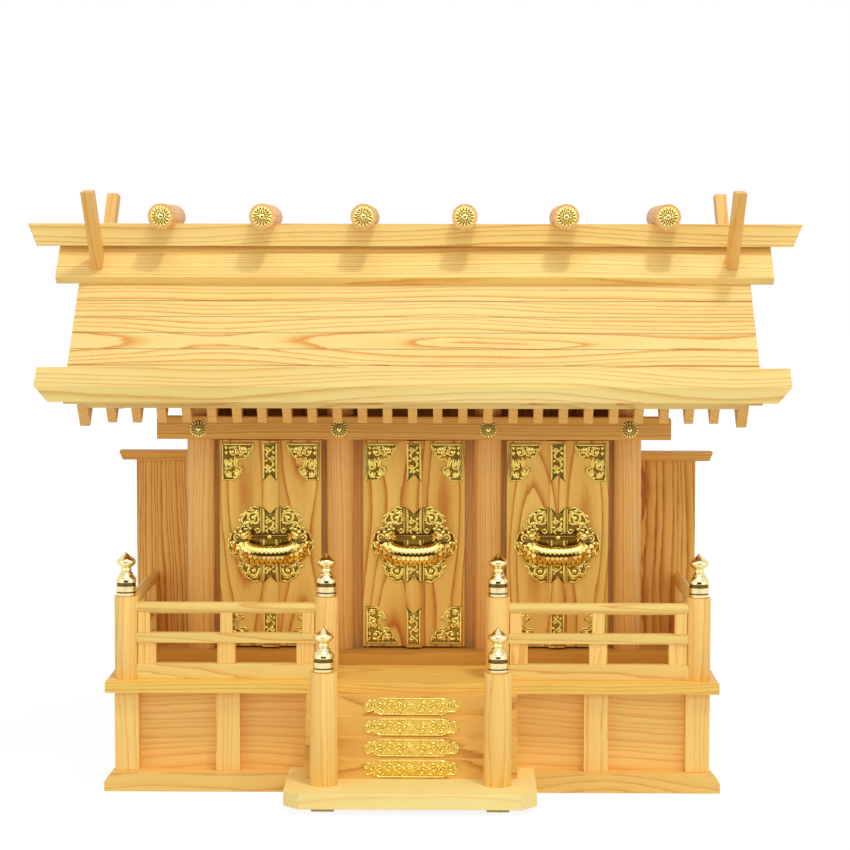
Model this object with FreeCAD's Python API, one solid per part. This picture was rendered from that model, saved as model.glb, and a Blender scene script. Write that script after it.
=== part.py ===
import FreeCAD, Part
import math
import os

V = FreeCAD.Vector

# Household altar with three shrines under one long roof. Millimetres, Z up.
# Positions along Y are first taken from the front edge of the floor board and grow towards the back.
# They are shifted at the end so that the origin is under the middle of the whole altar, on the shelf.

# Base and floor
floor_side_margin = 0.7
floor_depth = 172.0
floor_thickness = 6.9
base_overhang = 0.9
base_beam_height = 12.4
base_beam_depth = 14.5
base_clip_width = 5.0
base_clip_height = 6.4
base_post_width = 15.3
base_post_inset = 6.5
base_middle_post_x = 117.4
base_post_height = 51.1
base_post_front = 5.0
base_post_depth = 7.5
base_panel_thickness = 5.0

# Stairs in front
stair_half_width = 66.7
stair_tread = 4.4
stair_count = 4
stair_top_front = 9.0
stair_plate_border = 11.3
stair_plate_front = -67.0
stair_plate_chamfer = 10.0
stair_plate_bottom = 4.4
stair_plate_top = 13.9
stair_foot_width = 14.0
stair_foot_length = 47.0
newel_x = 54.0
newel_y = -39.0
newel_radius = 8.6
newel_height = 70.4
step_plate_half_length = 30.9
step_plate_half_height = 5.5

# Railing round the floor
rail_y = 16.2
rail_inset = 12.1
rail_gate_post_x = 54.9
rail_post_radius = 7.6
rail_post_height = 53.2
top_rail_radius = 3.8
top_rail_height = 45.6
flat_rail_depth = 8.0
middle_rail_height = 23.3
middle_rail_width = 6.2
bottom_rail_width = 9.8
strut_depth = 6.0
upper_strut_width = 7.7
lower_strut_width = 11.5
finial_radius = 6.5
finial_height = 28.2
finial_sides = 20

# Body
centre_bay_extra = 2.65
pillar_y = 86.0
pillar_radius = 9.0
pillar_top = 300.0
sill_overhang = 27.0
sill_front_reach = 20.0
sill_depth = 22.0
sill_height = 8.6
body_cheek = 8.0
wall_thickness = 5.0
back_setback = 6.0
beam_overhang = 27.4
beam_front_reach = 16.0
beam_depth = 9.0
beam_bottom = 219.9
beam_height = 15.1
beam_clip = 1.6
head_rail_height = 12.0
jamb_gap = 2.1
jamb_thickness = 4.8
jamb_cover = 6.5

# Side screens
screen_width = 44.6
screen_height = 128.0
cap_height = 6.2
cap_overhang = 11.8
cap_undercut = 2.5
cap_front_reach = 4.0
cap_depth = 13.0

# Doors
leaf_pair_width = 67.6
leaf_side_gap = 3.65
leaf_meeting_gap = 0.35
leaf_setback = 2.0
leaf_thickness = 5.5
leaf_bottom_gap = 1.2
leaf_top_gap = 1.7
strip_width = 10.8
strip_thickness = 4.5
strip_rebate = 0.5
hinge_inset = 2.8
pin_radius = 1.0
pin_length = 3.0
pin_clearance = 0.2
fitting_thickness = 1.0
fitting_gap = 0.3
corner_plate_gap = 5.6
corner_plate_height = 25.3
corner_plate_inset = 1.6
strip_plate_width = 9.4
medal_side_inset = 5.3
medal_height = 51.0
medal_z = 148.6
lock_z = 150.0
lock_side_inset = 6.8
lock_bulge = 7.4
lock_thickness = 3.2

# Roof
roof_pitch = 43.5
ridge_y = 108.4
roof_apex_z = 344.2
roof_half_width = 222.2
roof_thickness = 5.0
roof_length = 136.5
roof_groove_first = 47.9
roof_groove_pitch = 14.6
roof_groove_count = 5
roof_groove_size = 0.6
ridge_cover_overhang = 15.1
ridge_cover_thickness = 6.5
ridge_cover_length = 32.6
ridge_board_lift = 2.6
ridge_board_height = 15.0
ridge_board_depth = 28.6
ridge_board_overhang = 20.2
ridge_board_undercut = 6.0
eave_overhang = 18.0
eave_projection = 3.0
eave_undercut = 8.8
eave_thickness = 7.5
eave_width = 16.8
fascia_width = 4.0
fascia_thickness = 3.6
rafter_pitch = 16.03
rafter_width = 5.8
rafter_depth = 17.4
rafter_length = 61.5
rafter_side_gap = 4.0
barge_inset = 11.9
barge_width = 6.6
barge_depth = 20.8
crossbar_width = 7.4
crossbar_thickness = 12.0
crossbar_length = 68.5
crossbar_foot = 19.2
crossbar_tip_angle = 7.0
log_count = 6
log_pitch = 66.5
log_radius = 8.4
log_length = 76.0
log_sink = 3.9

# Rosettes
rosette_radius = 5.85
rosette_thickness = 1.6
rosette_petals = 16
log_rosette_radius = 6.9

# Derived
leaf_half_pair = leaf_pair_width / 2
bay_half_width = leaf_half_pair + leaf_side_gap + pillar_radius
pillar_x_inner = bay_half_width + centre_bay_extra
pillar_x_outer = pillar_x_inner + 2 * bay_half_width
bay_x = pillar_x_inner + bay_half_width
bays = (("left", -bay_x), ("centre", 0.0), ("right", bay_x))
pillar_xs = (-pillar_x_outer, -pillar_x_inner, pillar_x_inner, pillar_x_outer)
body_half_width = pillar_x_outer + body_cheek
screen_half_width = body_half_width + screen_width
floor_half_width = screen_half_width + floor_side_margin
corner_plate_width = leaf_half_pair - corner_plate_inset - strip_width / 2 - corner_plate_gap
medal_width = leaf_pair_width - 2 * medal_side_inset
lock_length = leaf_pair_width - 2 * lock_side_inset
base_half_width = floor_half_width + base_overhang
base_corner_post_x = base_half_width - base_post_inset - base_post_width / 2
floor_bottom = base_beam_height + base_post_height
floor_top = floor_bottom + floor_thickness
stair_plate_half_width = stair_half_width + stair_plate_border
stair_back = base_post_front + base_post_depth
newel_top = stair_plate_top + newel_height
rail_post_x = floor_half_width - rail_inset
rail_post_top = floor_top + rail_post_height
top_rail_z = floor_top + top_rail_height
middle_rail_bottom = floor_top + middle_rail_height
sill_front = pillar_y - sill_front_reach
sill_top = floor_top + sill_height
sill_half_width = pillar_x_outer + sill_overhang
back_face = floor_depth - back_setback - wall_thickness
back_outer = back_face + wall_thickness
beam_front = pillar_y - beam_front_reach
beam_half_width = pillar_x_outer + beam_overhang
screen_top = floor_top + screen_height
leaf_front = pillar_y - leaf_setback
leaf_bottom = sill_top + leaf_bottom_gap
leaf_top = beam_bottom - leaf_top_gap
hinge_y = leaf_front + leaf_thickness / 2
jamb_front = leaf_front + leaf_thickness + jamb_gap
jamb_back = jamb_front + jamb_thickness
slope_cos = math.cos(math.radians(roof_pitch))
slope_sin = math.sin(math.radians(roof_pitch))
slope_tan = slope_sin / slope_cos
roof_underside_apex = roof_apex_z - roof_thickness / slope_cos
eave_front = ridge_y - (roof_length + eave_projection) * slope_cos
ridge_cover_half_width = roof_half_width + ridge_cover_overhang
ridge_board_bottom = roof_apex_z + ridge_board_lift
ridge_board_top = ridge_board_bottom + ridge_board_height
ridge_board_half_width = ridge_cover_half_width + ridge_board_overhang
eave_half_width = roof_half_width + eave_overhang
barge_x = roof_half_width - barge_inset
barge_inner = barge_x - barge_width / 2
log_z = ridge_board_top - log_sink + log_radius
middle_y = (stair_plate_front + 2 * ridge_y - eave_front) / 2
reach = 2 * ridge_board_half_width


def box(x0, x1, y0, y1, z0, z1):
    return Part.makeBox(x1 - x0, y1 - y0, z1 - z0, V(x0, y0, z0))


def post(x, y, radius, z0, z1):
    return Part.makeCylinder(radius, z1 - z0, V(x, y, z0), V(0, 0, 1))


def prism(points, direction):
    wire = Part.makePolygon([V(*p) for p in points] + [V(*points[0])])
    return Part.Face(wire).extrude(V(*direction))


def fuse(shapes):
    joined = shapes[0]
    for shape in shapes[1:]:
        joined = joined.fuse(shape)
    return joined.removeSplitter()


def cut(shape, tools):
    for tool in tools:
        shape = shape.cut(tool)
    return shape


def both_sides(shape):
    return [shape, shape.mirror(V(0, 0, 0), V(1, 0, 0))]


def front_to_back(shape, y):
    return shape.mirror(V(0, y, 0), V(0, 1, 0))


def export(name, shapes):
    group = Part.makeCompound(shapes) if len(shapes) > 1 else shapes[0]
    group = group.copy()
    group.translate(V(0, -middle_y, 0))
    group.exportStep("parts/" + name + ".step")


def base_beam():
    w = base_half_width
    h = base_beam_height
    points = [
        (-w, 0, 0),
        (w, 0, 0),
        (w, 0, h - base_clip_height),
        (w - base_clip_width, 0, h),
        (-w + base_clip_width, 0, h),
        (-w, 0, h - base_clip_height),
    ]
    return prism(points, (0, base_beam_depth, 0))


def base_frame():
    front = base_beam()
    back = front_to_back(front, floor_depth / 2)
    outer = base_corner_post_x + base_post_width / 2
    y1 = floor_depth - base_beam_depth
    side = box(outer - base_post_width, outer, base_beam_depth, y1, 0, base_beam_height)
    return [fuse([front, back] + both_sides(side))]


def base_posts():
    z0 = base_beam_height
    half = base_post_width / 2
    y0 = base_post_front
    outer = base_corner_post_x + half
    corner = box(outer - base_post_width, outer, y0, y0 + base_post_width, z0, floor_bottom)
    x = base_middle_post_x
    middle = box(x - half, x + half, y0, y0 + base_post_depth, z0, floor_bottom)
    y = floor_depth / 2
    side = box(outer - base_post_depth, outer, y - half, y + half, z0, floor_bottom)
    posts = []
    for shape in both_sides(corner) + both_sides(middle):
        posts += [shape, front_to_back(shape, y)]
    return posts + both_sides(side)


def base_panels():
    z0 = base_beam_height
    outer = base_corner_post_x + base_post_width / 2
    inner = outer - base_post_width
    y0 = base_post_front + base_post_depth
    front = box(-inner, inner, y0, y0 + base_panel_thickness, z0, floor_bottom)
    x1 = outer - base_post_depth
    corner_back = base_post_front + base_post_width
    y1 = floor_depth - corner_back
    side = box(x1 - base_panel_thickness, x1, corner_back, y1, z0, floor_bottom)
    return [front, front_to_back(front, floor_depth / 2)] + both_sides(side)


def floor_board():
    return [box(-floor_half_width, floor_half_width, 0, floor_depth, floor_bottom, floor_top)]


def stair_plate():
    w = stair_plate_half_width
    c = stair_plate_chamfer
    y0 = stair_plate_front
    z = stair_plate_bottom
    points = [
        (-w + c, y0, z),
        (w - c, y0, z),
        (w, y0 + c, z),
        (w, stair_back, z),
        (-w, stair_back, z),
        (-w, y0 + c, z),
    ]
    plate = prism(points, (0, 0, stair_plate_top - z))
    plate = plate.cut(box(-reach, reach, 0, reach, 0, base_beam_height))
    half = stair_foot_width / 2
    y1 = newel_y + newel_radius + stair_foot_length / 2
    foot = box(newel_x - half, newel_x + half, y1 - stair_foot_length, y1, 0, z)
    return [fuse([plate] + both_sides(foot))]


def step_front(k):
    # The lowest step stands out most.
    return -stair_top_front - (stair_count - 1 - k) * stair_tread


def stair_rise():
    return (floor_bottom - stair_plate_top) / stair_count


def stair_steps():
    rise = stair_rise()
    steps = []
    for k in range(stair_count):
        z0 = stair_plate_top + k * rise
        steps.append(box(-stair_half_width, stair_half_width, step_front(k), stair_back, z0, z0 + rise))
    return [fuse(steps)]


def step_plates():
    # Long plates with a leaf point at each end, one on each riser.
    w = step_plate_half_length
    h = step_plate_half_height
    outline = [(-w, 0), (-0.84 * w, 0.65 * h), (-0.64 * w, h), (0.64 * w, h), (0.84 * w, 0.65 * h)]
    outline += [(w, 0), (0.84 * w, -0.65 * h), (0.64 * w, -h), (-0.64 * w, -h), (-0.84 * w, -0.65 * h)]
    rise = stair_rise()
    plates = []
    for k in range(stair_count):
        z = stair_plate_top + (k + 0.5) * rise
        plates.append(plate([(a, z + b) for a, b in outline], step_front(k)))
    return plates


def newel_posts():
    return both_sides(post(newel_x, newel_y, newel_radius, stair_plate_top, newel_top))


def rail_posts():
    posts = []
    for x in (rail_post_x, rail_gate_post_x):
        posts += both_sides(post(x, rail_y, rail_post_radius, floor_top, rail_post_top))
    return posts


def ring_wire(x, y, z, radius, sides):
    # A level polygon with its first corner on the X axis of its centre.
    turns = [math.radians(360 * k / sides) for k in range(sides + 1)]
    return Part.makePolygon([V(x + radius * math.cos(t), y + radius * math.sin(t), z) for t in turns])


def finial(x, y, z):
    # An onion-shaped cap: sleeve, shoulder, neck, bulb and point, as rings lofted up the post's axis.
    r = finial_radius
    h = finial_height
    profile = [(r, 0), (r, 0.46 * h), (0.68 * r, 0.52 * h), (0.4 * r, 0.58 * h), (0.44 * r, 0.65 * h)]
    profile += [(0.95 * r, 0.82 * h), (0.46 * r, 0.91 * h), (0.08 * r, h)]
    rings = [ring_wire(x, y, z + b, a, finial_sides) for a, b in profile]
    return Part.makeLoft(rings, True, True)


def finials():
    shapes = []
    for x in (rail_post_x, rail_gate_post_x):
        shapes += [finial(x, rail_y, rail_post_top), finial(-x, rail_y, rail_post_top)]
    for x in (newel_x, -newel_x):
        shapes.append(finial(x, newel_y, newel_top))
    return shapes


def rail_spans():
    # Straight runs of railing: two at the front, two at the sides.
    return [
        ("x", -rail_post_x, -rail_gate_post_x),
        ("x", rail_gate_post_x, rail_post_x),
        ("y", -rail_post_x, -rail_post_x),
        ("y", rail_post_x, rail_post_x),
    ]


def post_tools():
    xs = (-rail_post_x, -rail_gate_post_x, rail_gate_post_x, rail_post_x)
    return [post(x, rail_y, rail_post_radius, 0, rail_post_top) for x in xs]


def top_rails():
    rails = []
    for axis, a, b in rail_spans():
        if axis == "x":
            rail = Part.makeCylinder(top_rail_radius, b - a, V(a, rail_y, top_rail_z), V(1, 0, 0))
        else:
            rail = Part.makeCylinder(top_rail_radius, back_face - rail_y, V(a, rail_y, top_rail_z), V(0, 1, 0))
        rails.append(cut(rail, post_tools()))
    return rails


def flat_rails(z0, height):
    half = flat_rail_depth / 2
    rails = []
    for axis, a, b in rail_spans():
        if axis == "x":
            rail = box(a, b, rail_y - half, rail_y + half, z0, z0 + height)
        else:
            rail = box(a - half, a + half, rail_y, back_face, z0, z0 + height)
        rails.append(cut(rail, post_tools()))
    return rails


def middle_rails():
    return flat_rails(middle_rail_bottom, middle_rail_width)


def bottom_rails():
    return flat_rails(floor_top, bottom_rail_width)


def strut_row(width, z0, z1):
    # One strut against each post and one in the middle of each run.
    half = strut_depth / 2
    near = rail_post_radius
    struts = []
    for axis, a, b in rail_spans():
        c = (a + b) / 2 if axis == "x" else (rail_y + back_face) / 2
        if axis == "x":
            for x0 in (a + near, c - width / 2, b - near - width):
                struts.append(box(x0, x0 + width, rail_y - half, rail_y + half, z0, z1))
        else:
            for y0 in (rail_y + near, c - width / 2, back_face - width):
                struts.append(box(a - half, a + half, y0, y0 + width, z0, z1))
    return struts


def rail_struts():
    z0 = middle_rail_bottom + middle_rail_width
    upper = strut_row(upper_strut_width, z0, top_rail_z)
    for axis, a, b in rail_spans():
        if axis == "x":
            rail = Part.makeCylinder(top_rail_radius, b - a, V(a, rail_y, top_rail_z), V(1, 0, 0))
        else:
            rail = Part.makeCylinder(top_rail_radius, back_face, V(a, 0, top_rail_z), V(0, 1, 0))
        upper = [shape.cut(rail) for shape in upper]
    return upper + strut_row(lower_strut_width, floor_top + bottom_rail_width, middle_rail_bottom)


def pin_sockets():
    # Square sockets chiselled in the sill and the head rail, in which the doors' round pins turn.
    half = pin_radius + pin_clearance
    low = leaf_bottom - pin_length - pin_clearance
    high = leaf_top + pin_length + pin_clearance
    sockets = []
    for _, x in bays:
        for side in (-1, 1):
            hx = x + side * (leaf_half_pair - hinge_inset)
            x0, x1, y0, y1 = hx - half, hx + half, hinge_y - half, hinge_y + half
            sockets += [box(x0, x1, y0, y1, low, leaf_bottom), box(x0, x1, y0, y1, leaf_top, high)]
    return sockets


def sill():
    y1 = sill_front + sill_depth
    board = box(-sill_half_width, sill_half_width, sill_front, y1, floor_top, sill_top)
    return [cut(board, pin_sockets())]


def pillar_tools():
    return [post(x, pillar_y, pillar_radius, 0, pillar_top) for x in pillar_xs]


def pillars():
    return [post(x, pillar_y, pillar_radius, sill_top, pillar_top) for x in pillar_xs]


def slope_point(u, v):
    # A point u down the front slope from the ridge and v above the roof boards' upper face.
    y = ridge_y - u * slope_cos - v * slope_sin
    z = roof_apex_z - u * slope_sin + v * slope_cos
    return y, z


def slope_prism(corners, x0, x1):
    points = []
    for u, v in corners:
        y, z = slope_point(u, v)
        points.append((x0, y, z))
    return prism(points, (x1 - x0, 0, 0))


def roof_underside(y):
    return roof_underside_apex - abs(y - ridge_y) * slope_tan


def under_roof(x0, x1, y0, y1, z0):
    # A wall whose upper edge follows the underside of both roof boards.
    points = [(x0, y0, z0), (x0, y1, z0), (x0, y1, roof_underside(y1))]
    if y0 < ridge_y < y1:
        points.append((x0, ridge_y, roof_underside_apex))
    points.append((x0, y0, roof_underside(y0)))
    return prism(points, (x1 - x0, 0, 0))


def side_walls():
    x0 = body_half_width - wall_thickness
    wall = under_roof(x0, body_half_width, pillar_y, back_face, floor_top)
    sill_space = box(0, reach, 0, sill_front + sill_depth, 0, sill_top)
    return both_sides(cut(wall, pillar_tools() + [sill_space]))


def back_wall():
    return [under_roof(-body_half_width, body_half_width, back_face, back_outer, floor_top)]


def head_rail():
    # Blocks between the pillars, behind the front beam, that take the upper pins of the doors.
    half = bay_half_width - pillar_radius
    y0 = beam_front + beam_depth
    z1 = beam_bottom + head_rail_height
    return [cut(box(x - half, x + half, y0, jamb_back, beam_bottom, z1), pin_sockets()) for _, x in bays]


def door_jambs():
    inner = body_half_width - wall_thickness
    half = pillar_radius + jamb_cover
    jambs = []
    for x in pillar_xs:
        x0 = max(x - half, -inner)
        x1 = min(x + half, inner)
        jambs.append(cut(box(x0, x1, jamb_front, jamb_back, floor_top, beam_bottom), pillar_tools()))
    return jambs


def front_beam():
    w = beam_half_width
    c = beam_clip
    z0 = beam_bottom
    z1 = beam_bottom + beam_height
    y = beam_front
    points = [(-w, y, z0), (w, y, z0), (w, y, z1 - c), (w - c, y, z1), (-w + c, y, z1), (-w, y, z1 - c)]
    return [cut(prism(points, (0, beam_depth, 0)), pillar_tools())]


def rosette(x, y, z, radius):
    # A flower with a notch between its petals.
    points = []
    for k in range(2 * rosette_petals):
        r = radius if k % 2 else radius * 0.9
        a = math.pi * k / rosette_petals
        points.append((x + r * math.cos(a), y, z + r * math.sin(a)))
    return prism(points, (0, -rosette_thickness, 0))


def beam_rosettes():
    z = beam_bottom + beam_height * 0.45
    return [rosette(x, beam_front, z, rosette_radius) for x in pillar_xs]


def side_screens():
    x0 = body_half_width
    return both_sides(box(x0, screen_half_width, back_face, back_outer, floor_top, screen_top))


def screen_caps():
    x0 = body_half_width
    x1 = screen_half_width + cap_overhang
    y = back_face - cap_front_reach
    z0 = screen_top
    z1 = z0 + cap_height
    points = [(x0, y, z0), (x1 - cap_undercut, y, z0), (x1, y, z1), (x0, y, z1)]
    return both_sides(prism(points, (0, cap_depth, 0)))


def roof_board():
    t = roof_thickness
    corners = [(0, 0), (roof_length, 0), (roof_length, -t), (-t * slope_tan, -t)]
    board = slope_prism(corners, -roof_half_width, roof_half_width)
    for k in range(roof_groove_count):
        u = roof_groove_first + k * roof_groove_pitch
        g = roof_groove_size
        board = board.cut(slope_prism([(u, g), (u + g, g), (u + g, -g), (u, -g)], -reach, reach))
    return [board.cut(box(-reach, reach, ridge_y, reach, 0, reach))]


def ridge_cover():
    t = ridge_cover_thickness
    u = -ridge_cover_length
    corners = [(u, 0), (ridge_cover_length, 0), (ridge_cover_length, t), (u, t)]
    board = slope_prism(corners, -ridge_cover_half_width, ridge_cover_half_width)
    board = board.cut(box(-reach, reach, ridge_y, reach, 0, reach))
    return [board.cut(box(-reach, reach, 0, reach, ridge_board_bottom, reach))]


def ridge_board():
    w = ridge_board_half_width
    u = ridge_board_undercut
    y0 = ridge_y - ridge_board_depth / 2
    z0 = ridge_board_bottom
    z1 = ridge_board_top
    points = [(-w + u, y0, z0), (w - u, y0, z0), (w, y0, z1), (-w, y0, z1)]
    return [prism(points, (0, ridge_board_depth, 0))]


def crossbar():
    # A bar standing square on the ridge cover, its top cut nearly level.
    half = crossbar_width / 2
    u0 = crossbar_foot - crossbar_thickness / 2
    u1 = u0 + crossbar_thickness
    v0 = ridge_cover_thickness
    v1 = v0 + crossbar_length
    corners = [(u0, v0), (u1, v0), (u1, v1 + crossbar_thickness), (u0, v1 + crossbar_thickness)]
    bar = slope_prism(corners, barge_x - half, barge_x + half)
    y, z = slope_point(u1, v1)
    drop = reach * math.tan(math.radians(crossbar_tip_angle))
    y0, y1, z1 = y - reach, y + reach, z + reach
    points = [(0, y0, z - drop), (0, y1, z + drop), (0, y1, z1), (0, y0, z1)]
    return bar.cut(prism(points, (reach, 0, 0)))


def crossbars():
    front = both_sides(crossbar())
    return front + [front_to_back(shape, ridge_y) for shape in front]


def log_xs():
    return [(k - (log_count - 1) / 2) * log_pitch for k in range(log_count)]


def ridge_logs():
    # Each log is flattened underneath where it lies on the ridge board.
    half = ridge_board_depth / 2
    y0 = ridge_y - log_length / 2
    seat = box(-reach, reach, ridge_y - half, ridge_y + half, ridge_board_bottom, ridge_board_top)
    logs = []
    for x in log_xs():
        log = Part.makeCylinder(log_radius, log_length, V(x, y0, log_z), V(0, 1, 0))
        logs.append(log.cut(seat))
    return logs


def log_rosettes():
    y0 = ridge_y - log_length / 2
    front = [rosette(x, y0, log_z, log_rosette_radius) for x in log_xs()]
    return front + [front_to_back(shape, ridge_y) for shape in front]


def eave_board():
    # The board along the eave has a plumb front face, and its ends lean in towards the bottom.
    t = eave_thickness
    u_low = roof_length + eave_projection
    u_nose = u_low - t * slope_tan
    u_back = u_nose - eave_width
    corners = [(u_back, 0), (u_low, 0), (u_nose, t), (u_back, t)]
    board = slope_prism(corners, -eave_half_width, eave_half_width)
    y0, z0 = slope_point(u_low, 0)
    y1, z1 = slope_point(u_back, 0)
    knives = []
    for side in (-1, 1):
        x_top = side * eave_half_width
        x_low = side * (eave_half_width - eave_undercut)
        far = side * reach
        profile = []
        for x, v in ((x_low, 0), (x_top, t), (far, t), (far, 0)):
            y, z = slope_point(u_low, v)
            profile.append((x, y, z))
        knives.append(prism(profile, (0, y1 - y0, z1 - z0)))
    return [cut(board, knives)]


def fascia_strip():
    u0 = roof_length - fascia_width
    v0 = -roof_thickness
    v1 = v0 - fascia_thickness
    return slope_prism([(u0, v0), (roof_length, v0), (roof_length, v1), (u0, v1)], -barge_inner, barge_inner)


def rafter(x):
    # A rafter hangs under the roof board and is notched round the fascia strip.
    end = roof_length
    start = end - rafter_length
    top = -roof_thickness
    low = top - rafter_depth
    half = rafter_width / 2
    stick = slope_prism([(start, top), (end, top), (end, low), (start, low)], x - half, x + half)
    return stick.cut(fascia_strip())


def rafters():
    each_side = int((barge_inner - rafter_side_gap - rafter_width / 2) / rafter_pitch)
    return [rafter(k * rafter_pitch) for k in range(-each_side, each_side + 1)]


def barge_boards():
    top = -roof_thickness
    low = top - barge_depth
    corners = [(-barge_depth, top), (roof_length, top), (roof_length, low), (-barge_depth * 2, low)]
    board = slope_prism(corners, barge_inner, barge_inner + barge_width)
    return both_sides(board.cut(box(0, reach, ridge_y, reach, 0, reach)))


def leaf(x, side):
    # side -1 is the leaf on the left of its bay.
    outer = x + side * leaf_half_pair
    inner = x + side * leaf_meeting_gap
    x0, x1 = min(outer, inner), max(outer, inner)
    board = box(x0, x1, leaf_front, leaf_front + leaf_thickness, leaf_bottom, leaf_top)
    hx = x + side * (leaf_half_pair - hinge_inset)
    low = post(hx, hinge_y, pin_radius, leaf_bottom - pin_length, leaf_bottom)
    high = post(hx, hinge_y, pin_radius, leaf_top, leaf_top + pin_length)
    return fuse([board, low, high])


def lead_leaf(x):
    # The left leaf carries the strip that covers the joint between the two leaves.
    half = strip_width / 2
    y0 = leaf_front - strip_thickness
    strip = box(x - half, x + half, y0, leaf_front, leaf_bottom, leaf_top)
    y1 = leaf_front - strip_rebate
    rebate = box(x - leaf_meeting_gap, x + strip_width, y1, leaf_front + leaf_thickness, 0, reach)
    return [fuse([leaf(x, -1), strip.cut(rebate)])]


def second_leaf(x):
    return [leaf(x, 1)]


def plate(points, y):
    return prism([(x, y, z) for x, z in points], (0, -fitting_thickness, 0))


def corner_plate(x, side, top):
    # A corner mount with a scalloped edge across the corner and a notch in its middle.
    outer = leaf_half_pair - corner_plate_inset
    w = corner_plate_width
    h = corner_plate_height
    z0 = leaf_top - corner_plate_inset if top else leaf_bottom + corner_plate_inset
    d = -1 if top else 1
    outline = [(0, 0), (1, 0), (0.93, 0.17), (0.62, 0.46), (0.5, 0.4), (0.42, 0.52), (0.5, 0.62)]
    outline += [(0.36, 0.86), (0.2, 1), (0, 1)]
    return plate([(x + side * (outer - a * w), z0 + d * b * h) for a, b in outline], leaf_front)


def medallion(x):
    # A cloud-shaped plate: two lobes on each side and two pairs above and below them.
    w = medal_width / 2
    h = medal_height / 2
    y = leaf_front
    lobes = []
    for a, b, r in ((0.62, 0.0, 0.38), (0.3, 0.58, 0.38), (0.3, -0.58, 0.38)):
        for side in (-1, 1):
            place = V(x + side * a * w, y, medal_z + b * h)
            lobes.append(Part.makeCylinder(r * w, fitting_thickness, place, V(0, -1, 0)))
    lobes.append(box(x - 0.6 * w, x + 0.6 * w, y - fitting_thickness, y, medal_z - 0.6 * h, medal_z + 0.6 * h))
    return fuse(lobes)


def medal_half(x, side):
    # The part of the medallion on one leaf, clear of the meeting strip.
    inner = strip_width / 2 + fitting_gap
    keep = box(inner, medal_width, leaf_front - fitting_thickness, leaf_front, 0, reach)
    if side < 0:
        keep = keep.mirror(V(0, 0, 0), V(1, 0, 0))
    keep.translate(V(x, 0, 0))
    return medallion(x).common(keep)


def strip_plates(x):
    # A plate with a swallow tail at each end of the strip, and one over the medallion.
    y = leaf_front - strip_thickness
    w = strip_plate_width / 2
    h = corner_plate_height
    tail = strip_plate_width / 2
    shapes = []
    for z0, d in ((leaf_top - corner_plate_inset, -1), (leaf_bottom + corner_plate_inset, 1)):
        rows = [(-w, z0), (w, z0), (w, z0 + d * h), (0, z0 + d * (h - tail)), (-w, z0 + d * h)]
        shapes.append(plate([(x + a, b) for a, b in rows], y))
    m = medal_height / 2
    rows = [(-w, m), (0, m - tail), (w, m), (w, -m), (0, tail - m), (-w, -m)]
    shapes.append(plate([(x + a, medal_z + b) for a, b in rows], y))
    return shapes


def across(x, y, z, radius, depth):
    return Part.makeCylinder(radius, depth, V(x, y, z), V(0, -1, 0))


def lock(x):
    # A crescent body with a straight bar above it and a boss at each end of the bar.
    # Seen from above it arches forward, so that only its ends come near the leaves.
    half = lock_length / 2
    deep = 4 * lock_bulge
    y = leaf_front + deep / 2
    z = lock_z
    outer = across(x, y, z + 0.5 * half, 1.12 * half, deep)
    inner = across(x, y, z + 1.1 * half, 1.3 * half, deep)
    body = outer.cut(inner).common(box(x - half, x + half, y - deep, y, z - half, z + 0.24 * half))
    bar = box(x - 0.78 * half, x + 0.78 * half, y - deep, y, z + 0.05 * half, z + 0.19 * half)
    bosses = [across(x + side * 0.84 * half, y, z + 0.1 * half, 0.16 * half, deep) for side in (-1, 1)]
    outline = fuse([body, bar] + bosses)
    front = arch(x, lock_bulge + fitting_thickness + fitting_gap + lock_thickness / 4, lock_bulge)
    back = arch(x, strip_thickness + fitting_thickness + fitting_gap, strip_thickness)
    return outline.common(front).cut(back)


def arch(x, crown, rise):
    # An upright cylinder whose front stands crown before the leaves in the middle and rise less at the ends.
    half = lock_length / 2
    radius = (half * half + rise * rise) / (2 * rise)
    return post(x, leaf_front - crown + radius, radius, leaf_bottom, leaf_top)


def lead_fittings(x):
    shapes = [corner_plate(x, -1, True), corner_plate(x, -1, False), medal_half(x, -1)]
    return shapes + strip_plates(x)


def second_fittings(x):
    return [corner_plate(x, 1, True), corner_plate(x, 1, False), medal_half(x, 1)]


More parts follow.
